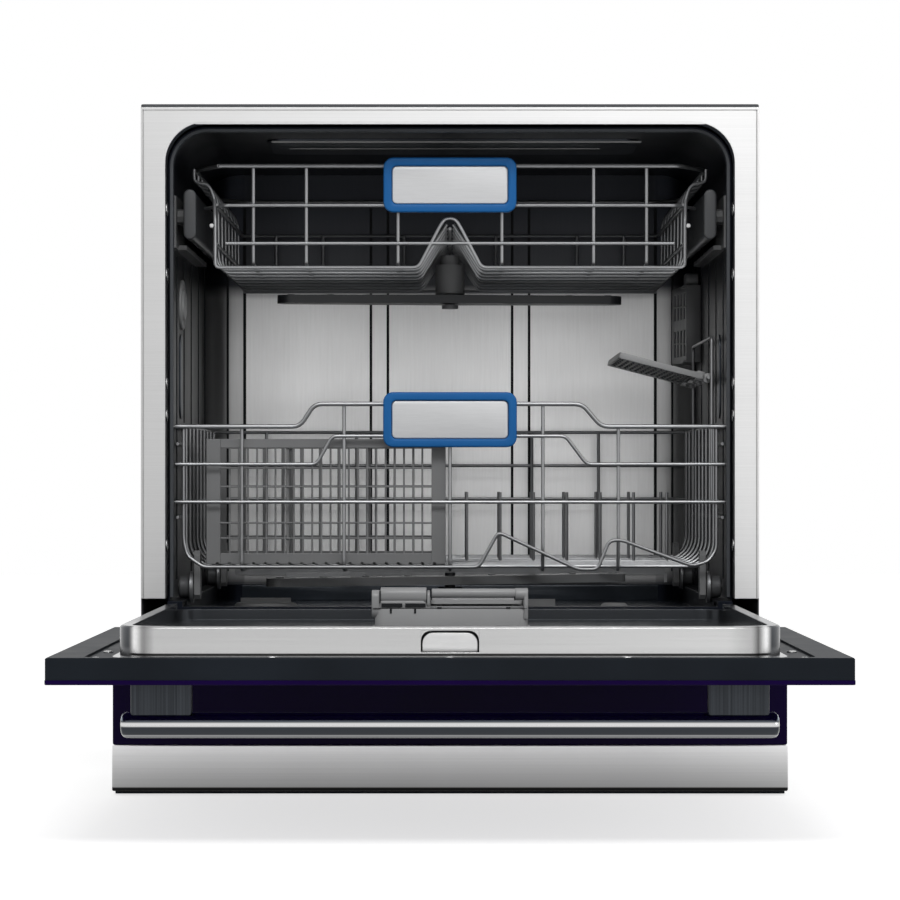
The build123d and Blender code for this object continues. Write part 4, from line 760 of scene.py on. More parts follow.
def wires(runs, diameter, bend=5.0):
    """Round wires through the given runs, made a mesh."""
    let_go()
    bpy.ops.curve.primitive_nurbs_path_add()
    piece = bpy.context.object
    piece.data.splines.clear()
    for points in runs:
        path = bent(points, bend)
        spline = piece.data.splines.new("POLY")
        spline.points.add(len(path) - 1)
        for point, place in zip(spline.points, path):
            point.co = (*place, 1)
    piece.data.bevel_depth = diameter / 2 * MM
    piece.data.bevel_resolution = 2
    piece.data.use_fill_caps = True
    take(piece)
    bpy.ops.object.convert(target="MESH")
    return bpy.context.object


def mirrored(half_run):
    """A run that goes on as its own mirror image on the other side."""
    return half_run + [(-x, y, z) for x, y, z in reversed(half_run)]


print("wire helpers ready")

# %% [markdown]
# In the upper rack the side and floor wires are single rods: each starts at the rim, turns in to the
# wall, runs down and turns across the floor, up to the ridge in the middle that clears the spray
# arm's feed. Long rods along the front, the sides and the back hold them together, lying against
# them with their surfaces just sunk in at each weld.

# %% Upper rack wires
rim_wire = 4.0
rod = 3.2
weld_step = rod - 0.4
upper_front, upper_back = 62.0, 435.0
upper_half, upper_rim_half = 211.6, 234.0
upper_rim, upper_second, upper_third, upper_floor = 560.4, 525.7, 490.3, 468.6
upper_behind = upper_front + weld_step
ridge_foot, ridge_top = 28.5, 513.0
arch_half, arch_top = 21.0, 496.2
rim_corner_x, rim_turn = 209, 44.0

upper_runs = [
    mirrored([(-upper_half - 12, upper_front + 34, upper_second - 1),
              (-upper_half + 6, upper_front, upper_second - 1)]),
    mirrored([(-203, upper_front, upper_third)]),
    mirrored([(-upper_half - 2, upper_front + 8, upper_rim - 30),
              (-upper_half - 1, upper_front, upper_second - 14), (-upper_half - 1, upper_front, upper_floor),
              (-ridge_foot, upper_front, upper_floor), (-9, upper_front, ridge_top - 7),
              (-4.5, upper_front, ridge_top)]),
]
for x in (-178, -130, -47, 47, 130, 178):
    upper_runs.append([(x, upper_behind, upper_rim), (x, upper_behind, upper_floor + 3),
                       (x, upper_behind + 8, upper_floor + weld_step),
                       (x, upper_back - weld_step, upper_floor + weld_step),
                       (x, upper_back - weld_step, upper_second)])
for y in spread(upper_front + 30, upper_back - 26, 8):
    for side in SIDES:
        upper_runs.append([
            (side * upper_rim_half, y, upper_rim), (side * upper_rim_half, y, upper_rim - 12),
            (side * (upper_half + 9), y, upper_rim - 14), (side * (upper_half + 4), y, upper_rim - 26),
            (side * (upper_half + 3.4), y, upper_floor + 12), (side * (upper_half - 2), y, upper_floor),
            (side * ridge_foot, y, upper_floor), (side * 3, y, ridge_top - 3)])
upper_runs.append([(0, upper_front + 30, ridge_top - 7), (0, upper_back - 26, ridge_top - 7)])
for side in SIDES:
    x = side * (upper_half + 0.6)
    for z in (upper_second, upper_third):
        upper_runs.append([(x, upper_front + 6, z), (x, upper_back, z)])
for z in (upper_rim, upper_second, upper_floor):
    upper_runs.append(mirrored([(-upper_half, upper_back, z)]))
upper_runs.append(mirrored([(-upper_half, upper_back, upper_third), (-arch_half - 5, upper_back, upper_third),
                            (-arch_half, upper_back, arch_top)]))
rim_right = [(rim_corner_x, upper_front, upper_rim), (upper_rim_half, upper_front + rim_turn, upper_rim),
             (upper_rim_half, upper_back - 24, upper_rim), (rim_corner_x, upper_back, upper_rim)]
rim_loop = [(-rim_corner_x, upper_front, upper_rim)] + mirrored(rim_right)
upper_rack = join([wires(upper_runs, rod), wires([rim_loop], rim_wire, bend=8)])
settle(upper_rack, "upper_rack_rods", "wire_coat", "upper_rack", "upper_rack_wires", clean=False)
print("upper rack rods:", len(upper_runs), "faces:", len(upper_rack.data.polygons))

# %% [markdown]
# The lower rack's cross rods are bent into one wide bracket each, from rim to rim under the floor.
# Its front wires rise in a low arch to carry the handle, and the lowest one has two humps that keep
# the first row of dishes apart. Two posts on the right wall carry the hinge wire of the cup shelf.

# %% Lower rack wires
lower_front, lower_back, lower_half = 48.0, 430.0, 242.5
lower_rim, lower_second, lower_third, lower_floor = 324.5, 290.6, 256.6, 198.0
rim_raised, second_raised = 344.8, 316.0
foot_half = lower_half - 16.5
tuck = lower_half - weld_step
overhang = lower_half + 5
lower_behind = lower_front + weld_step
floor_rod_z = lower_floor - weld_step
lower_runs = [
    [(-overhang, lower_front, lower_second), (-120, lower_front, lower_second),
     (-106, lower_front, second_raised), (104, lower_front, second_raised),
     (123, lower_front, lower_second), (overhang, lower_front, lower_second)],
    mirrored([(-overhang, lower_front, lower_third)]),
    [(-tuck - 0.5, lower_behind, lower_rim), (-tuck - 0.5, lower_behind, 222),
     (-tuck + 3, lower_front + 1, 208), (-foot_half + 4, lower_front, lower_floor),
     (26, lower_front, lower_floor), (43.4, lower_front, 229.5), (115, lower_front, lower_floor - 2),
     (133, lower_front, lower_floor - 2), (143, lower_front, 221.5), (154, lower_front, 222.5),
     (foot_half - 8, lower_front, lower_floor + 1), (tuck - 7, lower_front + 1, 203),
     (tuck + 0.5, lower_behind, 214), (tuck + 0.5, lower_behind, lower_rim)],
]
for x, foot, top in ((-187.5, lower_floor, lower_rim), (-95.4, lower_floor, rim_raised),
                     (0, lower_floor, rim_raised), (83.6, 212, rim_raised), (151.7, 221, lower_rim)):
    lower_runs.append([(x, lower_behind, top), (x, lower_behind, foot + 2),
                       (x, lower_behind + 7, floor_rod_z), (x, lower_back - weld_step, floor_rod_z),
                       (x, lower_back - weld_step, lower_rim)])
for y in spread(lower_front + 26, lower_back - 30, 9):
    lower_runs.append(mirrored([(-tuck, y, lower_rim), (-tuck, y, 216), (-tuck + 4, y, 206),
                                (-foot_half, y, lower_floor)]))
for side in SIDES:
    outer_x, inner_x = side * (lower_half + 2.6), side * lower_half
    for z in (308.8, 242.7):
        lower_runs.append([(outer_x, lower_front - 2, z), (outer_x, lower_back, z)])
    for z in (lower_second, lower_third):
        lower_runs.append([(inner_x, lower_front - 0.5, z), (inner_x, lower_back, z)])
for z in (lower_rim, lower_second, lower_third, lower_floor):
    lower_runs.append(mirrored([(-lower_half, lower_back, z)]))
lower_rim_runs = [
    [(-lower_half - 5.5, lower_front, lower_rim), (-lower_half + 8, lower_front, lower_rim)],
    [(lower_half - 8, lower_front, lower_rim), (lower_half + 5.5, lower_front, lower_rim)],
    [(-lower_half, lower_back, lower_rim), (-lower_half, lower_front, lower_rim),
     (-135, lower_front, lower_rim), (-122, lower_front, rim_raised), (119, lower_front, rim_raised),
     (136, lower_front, lower_rim), (lower_half, lower_front, lower_rim),
     (lower_half, lower_back, lower_rim)],
]
post_x, post_top = lower_half - 3.1, 407.0
shelf_hinge_x, shelf_hinge_z = post_x - 3.1, 370.0
shelf_near, shelf_far = 100.0, 300.0
lower_runs.append([(post_x, shelf_near - 8, lower_third), (post_x, shelf_near - 8, post_top),
                   (post_x, shelf_far + 8, post_top), (post_x, shelf_far + 8, lower_third)])
lower_runs.append([(shelf_hinge_x, shelf_near - 10, shelf_hinge_z),
                   (shelf_hinge_x, shelf_far + 10, shelf_hinge_z)])
lower_rack = join([wires(lower_runs, rod), wires(lower_rim_runs, rim_wire, bend=7)])
settle(lower_rack, "lower_rack_rods", "wire_coat", "lower_rack", "lower_rack_wires", clean=False)
print("lower rack rods:", len(lower_runs), "faces:", len(lower_rack.data.polygons))

# %% [markdown]
# Plates stand between two rows of tines. A row is one rod along the rack with upright rods on it,
# and it folds down about that rod, so each row is a piece of its own on its own body.

# %% Tine rows
tine_left, tine_right, tine_height = 10.0, 214.0, 66.0
tine_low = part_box("front_tines")[0].z / MM + 1.5
for name, y in (("front_tines", 232.0), ("rear_tines", 318.0)):
    tine_runs = [[(tine_left, y, tine_low), (tine_right, y, tine_low)]]
    for x in spread(tine_left + 6, tine_right - 6, 7):
        tine_runs.append([(x, y, tine_low), (x, y, tine_low + tine_height)])
    tines = wires(tine_runs, 3.0)
    settle(tines, name + "_rods", "wire_coat", name, name, clean=False)
print("tines at height", round(tine_low, 1))

# %% [markdown]
# The rack handles are a blue moulded frame with a bright plate set in it. The frame has soft edges all
# round, so the plate is drawn first, its corners rounded, and the ring is cut and bevelled.

# %% Rack handles
def rack_handle(low, wire_front, prefix, body):
    """A blue frame and its bright plate on the front wires of a rack."""
    width, height, border, corner, depth, gap = 120.0, 49.5, 7.5, 9.0, 7.8, 0.3
    back = wire_front - 2.0
    middle = low + height / 2
    inner_width, inner_height = width - 2 * border, height - 2 * border
    ring = slab("Y", (0, back, middle), width, height, depth, corner)
    cut(ring, slab("Y", (0, back - 2, middle), inner_width, inner_height, depth, corner / 2, 5))
    round_edges(ring, 1.6, 3)
    settle(ring, prefix + "_handle_ring", "handle_blue", body, prefix + "_handle_frame")
    plate = slab("Y", (0, back - 2, middle), inner_width - 2 * gap, inner_height - 2 * gap, 4,
                 corner / 2 - gap, 5)
    round_edges(plate, 1.1, 3)
    settle(plate, prefix + "_handle_inlay", "plate_silver", body, prefix + "_handle_plate")


rack_handle(517.8, upper_front, "upper", "upper_rack")
rack_handle(305.8, lower_front, "lower", "lower_rack")
print("handles made")

# %% [markdown]
# The cutlery basket is a moulded lattice: a plain border with fine bars between, the upright ones close
# together and a few level ones across them. One wall is built from thin bars, and the others are too,
# with fewer bars, so that the front wall's pattern stays readable through the basket.

# %% Cutlery basket
basket_left, basket_right, basket_front, basket_back = -220.0, -4.0, 56.0, 136.0
basket_floor, basket_top = 200.4, 313.5
basket_wall = 2.5


def lattice_wall(left, right, y, uprights, levels, bar=1.7):
    """A lattice wall that faces the front: a border, upright bars and level bars."""
    side, foot, head = 12.7, 10.0, 8.2
    rear = y + basket_wall
    parts = blocks(
        ((left, y, basket_floor), (left + side, rear, basket_top)),
        ((right - side, y, basket_floor), (right, rear, basket_top)),
        ((left + side, y, basket_floor), (right - side, rear, basket_floor + foot)),
        ((left + side, y, basket_top - head), (right - side, rear, basket_top)))
    for x in spread(left + side, right - side, uprights + 2)[1:-1]:
        parts.append(block((x - bar / 2, y + 0.4, basket_floor + foot - 0.5),
                           (x + bar / 2, rear - 0.4, basket_top - head + 0.5)))
    for z in levels:
        parts.append(block((left + side - 0.5, y + 0.6, z - bar / 2),
                           (right - side + 0.5, rear - 0.2, z + bar / 2)))
    return parts


def lattice_side(x, uprights, levels, bar=1.8):
    """A lattice wall that faces sideways."""
    border = 9.0
    inner = x + basket_wall
    near, far = basket_front + basket_wall - 0.2, basket_back - basket_wall + 0.2
    parts = blocks(
        ((x, near, basket_floor), (inner, near + border, basket_top)),
        ((x, far - border, basket_floor), (inner, far, basket_top)),
        ((x, near, basket_floor), (inner, far, basket_floor + border)),
        ((x, near, basket_top - border), (inner, far, basket_top)))
    for y in spread(near + border, far - border, uprights + 2)[1:-1]:
        parts.append(block((x + 0.4, y - bar / 2, basket_floor), (inner - 0.4, y + bar / 2, basket_top - 1)))
    for z in levels:
        parts.append(block((x + 0.3, near, z - bar / 2), (inner - 0.3, far, z + bar / 2)))
    return parts


level_bars = (223.8, 237.7, 270.4, 287.2)
basket_parts = lattice_wall(basket_left, basket_right, basket_front, 22, level_bars)
basket_parts += lattice_wall(basket_left, basket_right, basket_back - basket_wall, 10, level_bars[::2], 2.2)
third = (basket_right - basket_left) / 3
for x in (basket_left, basket_left + third, basket_left + 2 * third, basket_right - basket_wall):
    basket_parts += lattice_side(x, 3, level_bars[::2])
for x in spread(basket_left + 10, basket_right - 10, 19):
    basket_parts.append(block((x - 1.6, basket_front, basket_floor),
                              (x + 1.6, basket_back, basket_floor + 2.2)))
for y in spread(basket_front + 14, basket_back - 14, 4):
    basket_parts.append(block((basket_left, y - 1.6, basket_floor + 0.2),
                              (basket_right, y + 1.6, basket_floor + 2.0)))
basket = join(basket_parts)
round_edges(basket, 0.35, 1, 60)
settle(basket, "basket_lattice", "basket_plastic", "cutlery_basket", "cutlery_basket",
       clean=False)
print("basket faces:", len(basket.data.polygons))

# %% [markdown]
# The cup shelf is a shallow tray of bars in a rim, hinged on a wire and leaning down to the wall.
# It is built flat, with its hinge at the origin, and turned to its tilt at the end.

# %% Cup shelf
shelf_reach, shelf_tilt = 84.0, 14.5
shelf_half = (shelf_far - shelf_near) / 2
shelf_middle_y = (shelf_near + shelf_far) / 2
edge_half, edge_wide, hinge_side = 2.8, 2.2, -4
shelf_parts = blocks(
    ((-shelf_reach, -shelf_half, -edge_half), (hinge_side, -shelf_half + edge_wide, edge_half)),
    ((-shelf_reach, shelf_half - edge_wide, -edge_half), (hinge_side, shelf_half, edge_half)),
    ((-shelf_reach, -shelf_half, -edge_half), (-shelf_reach + edge_wide, shelf_half, edge_half)),
    ((hinge_side - edge_wide, -shelf_half, -edge_half), (hinge_side, shelf_half, edge_half)))
grid_parts = []
for x in spread(-shelf_reach + 8, -12, 13):
    grid_parts.append(block((x - 0.9, -shelf_half + 1, -2.6), (x + 0.9, shelf_half - 1, 1.2)))
for y in spread(-shelf_half + 16, shelf_half - 16, 6):
    grid_parts.append(block((-shelf_reach + 1, y - 0.9, -2.2), (-5, y + 0.9, 0.8)))
for y in (-shelf_half + 12, 0, shelf_half - 12):
    shelf_parts.append(block((-10, y - 8, -4.4), (-3.4, y + 8, 4.6)))
    shelf_parts.append(drum("Y", (0, y, 0), 4.6, 16, 20))
shelf = join(shelf_parts)
grid = join(grid_parts)
round_edges(shelf, 0.5, 2, 50)
for piece in (shelf, grid):
    piece.rotation_euler = (0, math.radians(shelf_tilt), 0)
    piece.location = (shelf_hinge_x * MM, shelf_middle_y * MM, shelf_hinge_z * MM)
settle(grid, "cup_shelf_grid", "charcoal_plastic", "cup_shelf", clean=False)
settle(shelf, "cup_shelf_tray", "rim_plastic", "cup_shelf", "cup_shelf", clean=False)
print("cup shelf faces:", len(shelf.data.polygons))

# %% [markdown]
# The lower rack rolls on moulded wheels: a smooth tread on the track, a wider flange inside the track's
# edge that keeps the rack straight, and a dished hub with six holes. A round profile is spun about
# the axle, and the holes are cut one by one.

# %% Lower rack wheels
wheel_outer, axle_height = 245.5, 179.5
hub_holes, hole_circle = 6, 6.2
wheel_profile = [
    (0, 3.1), (0, 8.6), (-0.8, 9.8), (-2.2, 10.2), (-8.2, 10.2), (-9.0, 10.6), (-9.4, 13.6), (-10.2, 14.4),
    (-12.4, 14.4), (-13.2, 13.8), (-13.5, 11.5), (-12.2, 10.4), (-12.0, 6.2), (-13.5, 5.4), (-13.5, 3.1),
    (0, 3.1),
]


def rack_wheel(side, y):
    """One wheel at its place, with its hub holes."""
    wheel = spun([(side * along, radius) for along, radius in wheel_profile], "X",
                 (side * wheel_outer, y, axle_height))
    for turn in range(hub_holes):
        angle = math.tau * turn / hub_holes
        hole_y, hole_z = y + hole_circle * math.cos(angle), axle_height + hole_circle * math.sin(angle)
        cut(wheel, drum("X", (side * (wheel_outer - 0.4), hole_y, hole_z), 1.5, 3, 12))
    return wheel


for name, y in (("front_wheels", 70.0), ("rear_wheels", lower_back - 30)):
    wheels = join([rack_wheel(side, y) for side in SIDES])
    settle(wheels, name + "_turned", "wheel_plastic", name, name, angle=40)
print("wheels turned")

# %% [markdown]
# The upper rack's rails end in caps that are rounded all over. The caps are slots in outline, so a
# plate is given corners as wide as half its width, and the rail behind is the same plate drawn long.
# A white pin with a domed head holds the rack's front wire beside each cap.

# %% Rails and their caps
cap_x, cap_z, cap_wide, cap_high = 233.75, 515.0, 11.2, 45.0
pin_profile = [(4, 0.001), (4, 1.5), (0.9, 2.1), (0, 1.5), (-0.3, 0.001)]

caps = join([
    round_edges(slab("Y", (side * cap_x, 47, cap_z), cap_wide, cap_high, 6.5, cap_wide / 2 - 0.1, 8), 1.8, 4)
    for side in SIDES])
settle(caps, "rail_end_caps", "cap_plastic", "upper_rack", "rail_caps", angle=45)
rails = join([
    slab("Y", (side * cap_x, 427.5, cap_z), cap_wide - 0.8, cap_high - 1.2, 380, 5.0) for side in SIDES])
settle(rails, "rack_rails_rounded", "rail_steel", "upper_rack", "upper_rack_rails", angle=45)
pins = join([spun(pin_profile, "Y", (side * 215.4, 57.0, 506.0), 16) for side in SIDES])
settle(pins, "rail_clip_pins", "white_pin", "upper_rack", angle=45)
print("rail caps and pins made")

# %% [markdown]
# The vent stands on the right wall near the back, a shallow box that turns its slotted face to the
# middle of the tub. Its slots are cut right through, so that they are dark because they are open.
# On the left wall the air break shows only its round cap, which is turned in one go.

# %% Vent and air break cap
vent_low, vent_high, vent_deep = 393.0, 470.0, 74.0
vent_middle = (vent_low + vent_high) / 2
vent_near, vent_far, vent_wall = 343, 417.5, 249.4
slot_rows = [vent_middle - 18.5, vent_middle + 18.5]

vent_face = slab("X", (0, 0, vent_middle), vent_deep, vent_high - vent_low, 2.4, 3, 3)
for z in slot_rows:
    for y in spread(-22, 22, 4):
        cut(vent_face, block((-3, y - 3.6, z - 13), (6, y + 3.6, z + 13)))
for z in slot_rows:
    vent_face = join([vent_face, wires([[(0.6, -30, z - 1), (0.6, 30, z + 1)]], 1.8)])
take(vent_face)
vent_face.rotation_euler = (0, 0, math.radians(8))
vent_face.location = (231.2 * MM, 381 * MM, 0)
write_place()
vent_box = blocks(
    ((235.0, vent_near, vent_low), (vent_wall, vent_near + 3, vent_high)),
    ((227.0, vent_far - 2.5, vent_low), (vent_wall, vent_far, vent_high)),
    ((232.0, vent_near + 1, vent_high - 2), (vent_wall, vent_far - 0.5, vent_high)),
    ((232.0, vent_near + 1, vent_low), (vent_wall, vent_far - 0.5, vent_low + 2)))
vent_hood = slab("X", (236, 372, vent_high + 6), 36, 14, 12, 6, 5)
vent = join([vent_face] + vent_box + [vent_hood])
round_edges(vent, 0.5, 2, 50)
settle(vent, "vent_box", "vent_plastic", "cabinet", "vent_grille", clean=False)

air_cap_profile = [(0, 23.2), (1.6, 23.2), (2.4, 22.4), (2.6, 20.6), (1.4, 19.8), (1.4, 15), (3.6, 13.6),
                   (4.4, 11), (4.6, 6), (3.4, 4.6), (3.4, 0.001)]
air_cap = spun(air_cap_profile, "X", (-250, 143, 439), 48)
settle(air_cap, "air_cap_turned", "pale_cap", "cabinet", "air_break_cap", angle=40)
print("vent and air break cap made")

# %% [markdown]
# The tub is pressed from sheet, and its walls carry narrow pressed channels. Channels that are barely
# a millimetre deep read as dark lines of shade, so that shade is painted on fine dark strips that sit in the
# wall's face.

# %% Channels of the tub
tub_back, tub_half = 455.0, 250.0
channel_low, channel_high = 182, 556


def wall_strip(x, y, turn, low, high, width):
    """A narrow upright strip on a wall; turn is the wall's direction in degrees."""
    strip = block((-width / 2, -0.5, low), (width / 2, 0.5, high))
    strip.rotation_euler = (0, 0, math.radians(turn))
    strip.location = (x * MM, y * MM, 0)
    take(strip)
    write_place()
    return strip


strips = []
for x in (64.0, 81.5):
    for side in SIDES:
        strips.append(wall_strip(side * x, tub_back - 0.3, 0, channel_low, channel_high, 2.6))
for side in SIDES:
    strips.append(wall_strip(side * 211.6, tub_back - 0.3, 0, channel_low, channel_high, 3.0))
    strips.append(wall_strip(side * 228.8, tub_back - 5, side * -28, channel_low, channel_high, 2.2))
    for y, low, high in ((92, 186, 480), (170, 330, 480), (250, 186, 484), (335, 186, 540), (416, 182, 548)):
        strips.append(wall_strip(side * (tub_half - 0.3), y, 90, low, high, 3.2))
# Painted shade: the channels' shade, on dark strips.
settle(join(strips), "tub_channel_shade", "channel_shadow", "cabinet")
print("channels:", len(strips))

# %% [markdown]
# Below, the back wall ends in short tabs over the floor, which is pressed down round the sump,
# the filter, the salt cap and the float. The floor and the band behind the tabs are painted dark as shade.
# The floor is a plate with round holes where these stand.

# %% Skirt and floor of the tub
skirt_parts = blocks(((-236, 453.2, 178), (236, 454.4, 186)))
for left, right in ((-236, -228), (-169, -88.6), (-39.2, 41.2), (91.7, 172), (220.5, 236)):
    skirt_parts.append(block((left, 452.6, 170.6), (right, 454.6, 180)))
settle(join(skirt_parts), "tub_skirt", "skirt_steel", "cabinet")

# Painted shade: a dark band behind the tabs.
pan_panel = round_edges(slab("Y", (0, 446.2, 160.3), 456, 15, 1.0, 4, 4), 0.4)
settle(pan_panel, "pan_rear_panel", "pan_painted_shade", "cabinet")

# Painted shade: a dark sheet over the tub's floor, with round holes where the parts stand.
pan_floor = slab("Z", (0, 235.5, 151.9), 472, 420, 0.5, 30, 8)
for x, y, radius in ((-170, 120, 27), (150, 90, 8), (0, 245, 60), (70, 150, 46)):
    cut(pan_floor, drum("Z", (x, y, 152), radius, 4, 48))
settle(pan_floor, "pan_floor_sheet", "pan_painted_shade", "cabinet")
print("skirt and floor made")

# %% [markdown]
# The ceiling has a shallow raised panel, painted dark as shade, whose front edges catch the light; their
# highlights are painted on pale strips. The frame has a fine line near its outer edge, where the plate is
# folded back, which is painted shade at the fold, and a lip over the mouth. Each side wall has one upright
# bead that stiffens it, painted dark as shade like the ceiling panel.

# %% Ceiling, frame lines and wall beads
# Painted shade: the ceiling panel is dark steel for the shade under the tub's top.
ceiling_panel = round_edges(slab("Z", (3, 172, 588.4), 344, 126, 1.8, 16), 0.8)
settle(ceiling_panel, "ceiling_panel", "tub_steel_in_shade", "cabinet")
# Painted highlights: pale strips along the ceiling panel's front edges.
ceiling_edge_highlights = join(blocks(
    ((-164, 109.6, 586.6), (176, 111.4, 588.2)),
    ((-150, 160, 586.0), (140, 161.6, 586.7))))
settle(ceiling_edge_highlights, "ceiling_edge_highlights", "edge_highlight_and_fold_shade", "cabinet")

line_outer, line_inner, line_front, line_back = 271.9, 270.9, -0.25, 0.4
# Painted shade: a darker line along the fold at the frame's outer edge.
outline = join(blocks(
    ((-line_outer, line_front, 172), (-line_inner, line_back, 604)),
    ((line_inner, line_front, 172), (line_outer, line_back, 604)),
    ((-line_outer, line_front, 603.4), (line_outer, line_back, 604.2))))
settle(outline, "frame_fold_shade", "edge_highlight_and_fold_shade", "cabinet")
lip = slab("Y", (0, 0.9, 592.3), 452, 2.2, 0.85, 1.0, 3)
settle(lip, "frame_lip", "frame_steel", "cabinet")

# Painted shade: the beads are the same dark steel.
beads = join([
    round_edges(slab("X", (x, 132, 372), 26, 78, 1.4, 12.9, 8), 0.5) for x in (-tub_half, tub_half - 1.4)])
settle(beads, "wall_beads", "tub_steel_in_shade", "cabinet")
print("ceiling, frame lines and wall beads made")

# %% [markdown]
# Small round plugs in bright rings close the fixing holes in the frame's collar. A ring is a torus
# turned to face sideways into the mouth, and its plug a low spun dome.

# %% Fixing rings in the collar
rings = []
for side in SIDES:
    for z in (517.0, 459.0, 362.6, 334.0, 218.7):
        let_go()
        bpy.ops.mesh.primitive_torus_add(
            major_radius=5.2 * MM, minor_radius=0.9 * MM, major_segments=28, minor_segments=8,
            location=(side * 251.6 * MM, 11 * MM, z * MM), rotation=(0, quarter, 0))
        rings.append(bpy.context.object)
        plug_profile = [(0, 3.4), (side * -0.8, 3.0), (side * -1.4, 0.001)]
        rings.append(spun(plug_profile, "X", (side * 251.8, 11, z), 20))
settle(join(rings), "collar_rings", "ring_steel", "cabinet")
print("collar rings made")

# %% [markdown]
# The dispenser on the door's inner side is a grey moulding with a rounded lid block on its left and a
# cross bar on its right, under which the powder lid slides. Each is a softened block of its own.
# Its left half has a round opening for the rinse-aid cap, its right half the cup for the powder.

# %% Dispenser
dispenser_y, left_x = -230, -38.5
body_low, seam_high, rail_high = 157.0, 174.6, 179.9
base_plate = slab("Z", (1, dispenser_y, 155.0), 130, 100, 2.0, 9)
lower_body = slab("Z", (1, dispenser_y, body_low - 8), 122, 90, seam_high - body_low + 8, 7)
upper_left = slab("Z", (left_x, dispenser_y, seam_high - 0.4), 43, 88, 6.4, 6, 5)
for part in (upper_left, lower_body):
    cut(part, drum("Z", (left_x, dispenser_y, 178), 10.4, 24, 32))
cut(lower_body, slab("Z", (21.5, -209, 158), 58, 36, 30, 5, 5))
lid_rails = blocks(((-19, -272, seam_high - 0.3), (-15.8, -188, rail_high)),
                   ((58.9, -272, seam_high - 0.3), (61, -188, rail_high)))
lid_block = slab("X", (-55.4, -264, 184.6), 21, 12.4, 36.6, 5)
bar_front = slab("X", (-14.6, -268.5, 186.4), 11, 7.4, 67, 3.4)
end_cap = join([
    slab("X", (52.0, -267, 185.6), 16, 9.6, 10.2, 4.6, 7), block((59.0, -275, 166), (62.2, -259.2, 186))])
left_cheek = slab("X", (-62.4, -267, 178.0), 14, 22, 6.4, 6)
middle_cheek = slab("X", (-18.6, -265, 181.5), 17, 14, 2.7, 4.5, 5)
dispenser_parts = [base_plate, lower_body, upper_left] + lid_rails
dispenser_parts += [lid_block, bar_front, end_cap, left_cheek, middle_cheek]
for part in dispenser_parts:
    round_edges(part, 0.7, 2, 45)
settle(join(dispenser_parts), "dispenser_moulding", "mid_plastic", "door",
       "dispenser_body", angle=40, clean=False)
print("dispenser made")

# %% [markdown]
# Where two parts of the dispenser meet there is a gap, and the shade in the gaps draws its outlines.
# That shade is painted: thin dark slips stand in the seams and slots, just proud of the grey faces.

# %% Painted shade in the gaps of the dispenser
gaps = blocks(
    ((-54.6, -275.5, 175.7), (-38.0, -270, 178.6)), ((-35.6, -275.5, 175.7), (-19.4, -270, 178.6)),
    ((-56.2, -274.9, 178.6), (-55.3, -262, 188.6)), ((-18.9, -273.4, 178.6), (-18.1, -262, 188.6)),
    ((-15.2, -271.9, 180.8), (-14.4, -262, 188.2)), ((51.2, -273.2, 180.8), (52.1, -262, 188.2)),
    ((-14.0, -273.4, 186.0), (51.2, -272.6, 186.5)),
    ((-47.9, -275.4, 170.6), (-46.3, -272, 174.2)), ((-28.6, -275.4, 170.6), (-27.0, -272, 174.2)),
    ((-10.2, -275.3, 174.2), (-6.6, -273.5, 175.6)), ((44.6, -275.3, 174.2), (48.2, -273.5, 175.6)),
    ((-61.5, -275.15, 174.4), (61.5, -274.0, 174.8)))
settle(join(gaps), "dispenser_gap_shade", "channel_shadow", "door")
print("gaps of the dispenser:", len(gaps))

# %% [markdown]
# The latch shows in the liner's front wall as a pale tongue with two rounded upper corners in a dark
# gap. The drawn plate has four rounded corners, and a cut takes its lower end off.

# %% Latch tongue
corner_x, corner_z = 14.4, 158.9


def tongue(width, low, high, front, depth, corner):
    """A plate whose two upper corners are rounded, standing with its face to the front."""
    middle = (low + high) / 2 - corner / 2
    plate = slab("Y", (0, front + depth, middle), width, high - low + corner, depth, corner, 7)
    return cut(plate, block((-width, front - 5, low - 3 * corner), (width, front + depth + 5, low)))


def corner_fill(side):
    """Fills the square corner of the opening up to the tongue's round one."""
    near, far = sorted((side * corner_x, side * 21.6))
    fill = block((near, -457.95, corner_z), (far, -457.0, 166.1))
    return cut(fill, drum("Y", (side * corner_x, -457.5, corner_z), 6.9, 4, 48))


latch_plate = round_edges(tongue(40.8, 150.4, 164.4, -457.2, 4.6, 8.0), 0.6, 2, 50)
latch = join([latch_plate, block((-12, -453.0, 150.5), (12, -405, 152.6))])
settle(latch, "latch_tongue", "tongue_steel", "latch_bolt", "latch_bolt", clean=False)
latch_gap = block((-21.4, -452.2, 150.1), (21.4, -451.0, 165.9))
settle(latch_gap, "latch_gap_shadow", "channel_shadow", "door")
settle(join([corner_fill(side) for side in SIDES]), "latch_corners", "liner_steel", "door")
print("latch made")

# %% [markdown]
# The handle is one polished bar with softly rounded ends. It is turned from its profile, right where
# the solid bar lies.

# %% Handle bar
bar_end = [(236.0, 9.7), (241.0, 9.62), (243.4, 8.9), (244.8, 7.4), (245.4, 5.6), (245.4, 0.001)]
bar_profile = [(-along, radius) for along, radius in reversed(bar_end)] + bar_end
handle_low, handle_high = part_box("handle_bar")
handle_middle = (handle_low + handle_high) / 2 / MM
bar = spun(bar_profile, "X", (0, handle_middle.y, handle_middle.z), 96)
settle(bar, "handle_bar_polished", "bar_chrome", "door", "handle_bar", angle=40)
print("handle bar made")

# %% [markdown]
# The steel outside has what holds it together: cross-head screws and pressed beads that stiffen the
# sheet. A screw head is a low spun dome with a cross cut into it, and it is used on the door, the sides
# and the back.

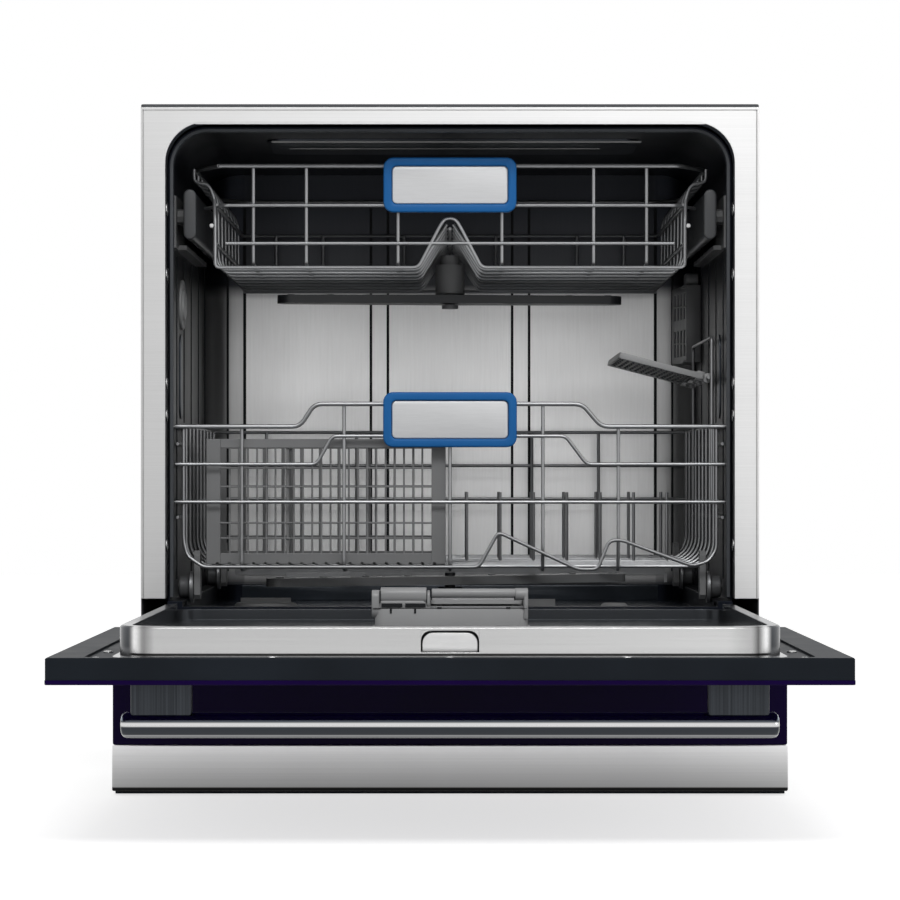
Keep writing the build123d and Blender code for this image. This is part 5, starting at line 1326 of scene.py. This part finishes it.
# %% Screws of the door
def screw(axis, place, radius, height, way=1):
    """A low domed screw head with a cross recess; way turns its dome to the negative side."""
    dome = [(0, radius), (0.45, radius), (0.85, radius * 0.72), (1, radius * 0.3), (1, 0.001)]
    head = spun([(way * height * along, out) for along, out in dome], axis, place, 20)
    reach, depth = radius * 0.62, height * 0.6
    index = "XYZ".index(axis)
    tip = list(place)
    tip[index] += way * height
    arms = []
    for half in ([reach, 0.35], [0.35, reach]):
        half.insert(index, depth)
        arms.append(block([c - h for c, h in zip(tip, half)], [c + h for c, h in zip(tip, half)]))
    for arm in arms:
        cut(head, arm)
    return head


liner_wall_top, step_top = 145.6, 144.6
door_screws = [screw("Z", (x, -461.4, liner_wall_top), 3.9, 1.7) for x in (-131, 0, 131)]
door_screws += [screw("Z", (side * 262, y, step_top), 3.8, 1.7) for side in SIDES for y in (-453.0, -366.0)]
settle(join(door_screws), "door_screws", "ring_steel", "door", "liner_screws", angle=40)
print("door screws made")

# %% [markdown]
# Each side sheet has one low bead that runs round it, drawn as a thin ring with a smaller plate cut
# out of it, and screws along its foot and its rear edge.

# %% Beads and screws of the sides
side_x, side_y, side_z = 273.5, 236, 330


def side_bead(side):
    """The raised ring on one side sheet."""
    ring_x = side_x - 0.2 if side > 0 else -side_x - 0.35
    ring = slab("X", (ring_x, side_y, side_z), 380, 430, 0.55, 26, 8)
    cut(ring, slab("X", (side * side_x - 1, side_y, side_z), 371, 421, 2.2, 22, 8))
    return round_edges(ring, 0.2)


settle(join([side_bead(side) for side in SIDES]), "side_beads", "dark_paint", "cabinet")
screw_spots = ((24, 44), (236, 44), (452, 44), (458, 180), (458, 330), (458, 480), (458, 585))
side_screws = [screw("X", (side * side_x, y, z), 4.0, 1.5, side) for side in SIDES for y, z in screw_spots]
settle(join(side_screws), "side_screws", "zinc_sheet", "cabinet", angle=40)
print("side beads and screws made")

# %% [markdown]
# The rear sheet is drawn flat and gets three upright beads and two level ones, which are plates with
# fully rounded ends. It has a hole for the mains lead, and screws along its edges.

# %% Rear sheet and its screws
rear_low, rear_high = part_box("rear_panel")
rear_wide = (rear_high.x - rear_low.x) / MM
rear_tall = (rear_high.z - rear_low.z) / MM
rear_foot, rear_head = rear_low.z / MM, rear_high.z / MM
rear_middle = (rear_low.z + rear_high.z) / 2 / MM
rear_parts = [slab("Y", (0, 471.3, rear_middle), rear_wide, rear_tall, 0.8, 1.0, 3)]
for x in (-130, 0, 130):
    rib = slab("Y", (x, 471.95, rear_middle + 20), 24, rear_tall - 150, 0.9, 11.9, 8)
    rear_parts.append(round_edges(rib, 0.5))
for z in (rear_foot + 46, rear_head - 26):
    rib = slab("Y", (0, 471.95, z), rear_wide - 120, 12, 0.9, 5.9)
    rear_parts.append(round_edges(rib, 0.4))
rear_sheet = cut(join(rear_parts), drum("Y", (-200, 471, 90), 8, 10, 32))
settle(rear_sheet, "rear_sheet_beaded", "zinc_sheet", "cabinet", "rear_panel", clean=False)

rear_spots = [(x, z) for x in (-262, -88, 88, 262) for z in (rear_foot + 8, rear_head - 8)]
rear_spots += [(x, z) for x in (-264, 264) for z in (230, 400)]
rear_screws = join([screw("Y", (x, 471.0, z), 3.8, 0.95) for x, z in rear_spots])
settle(rear_screws, "rear_screws", "ring_steel", "cabinet", angle=40)
print("rear sheet and screws made")
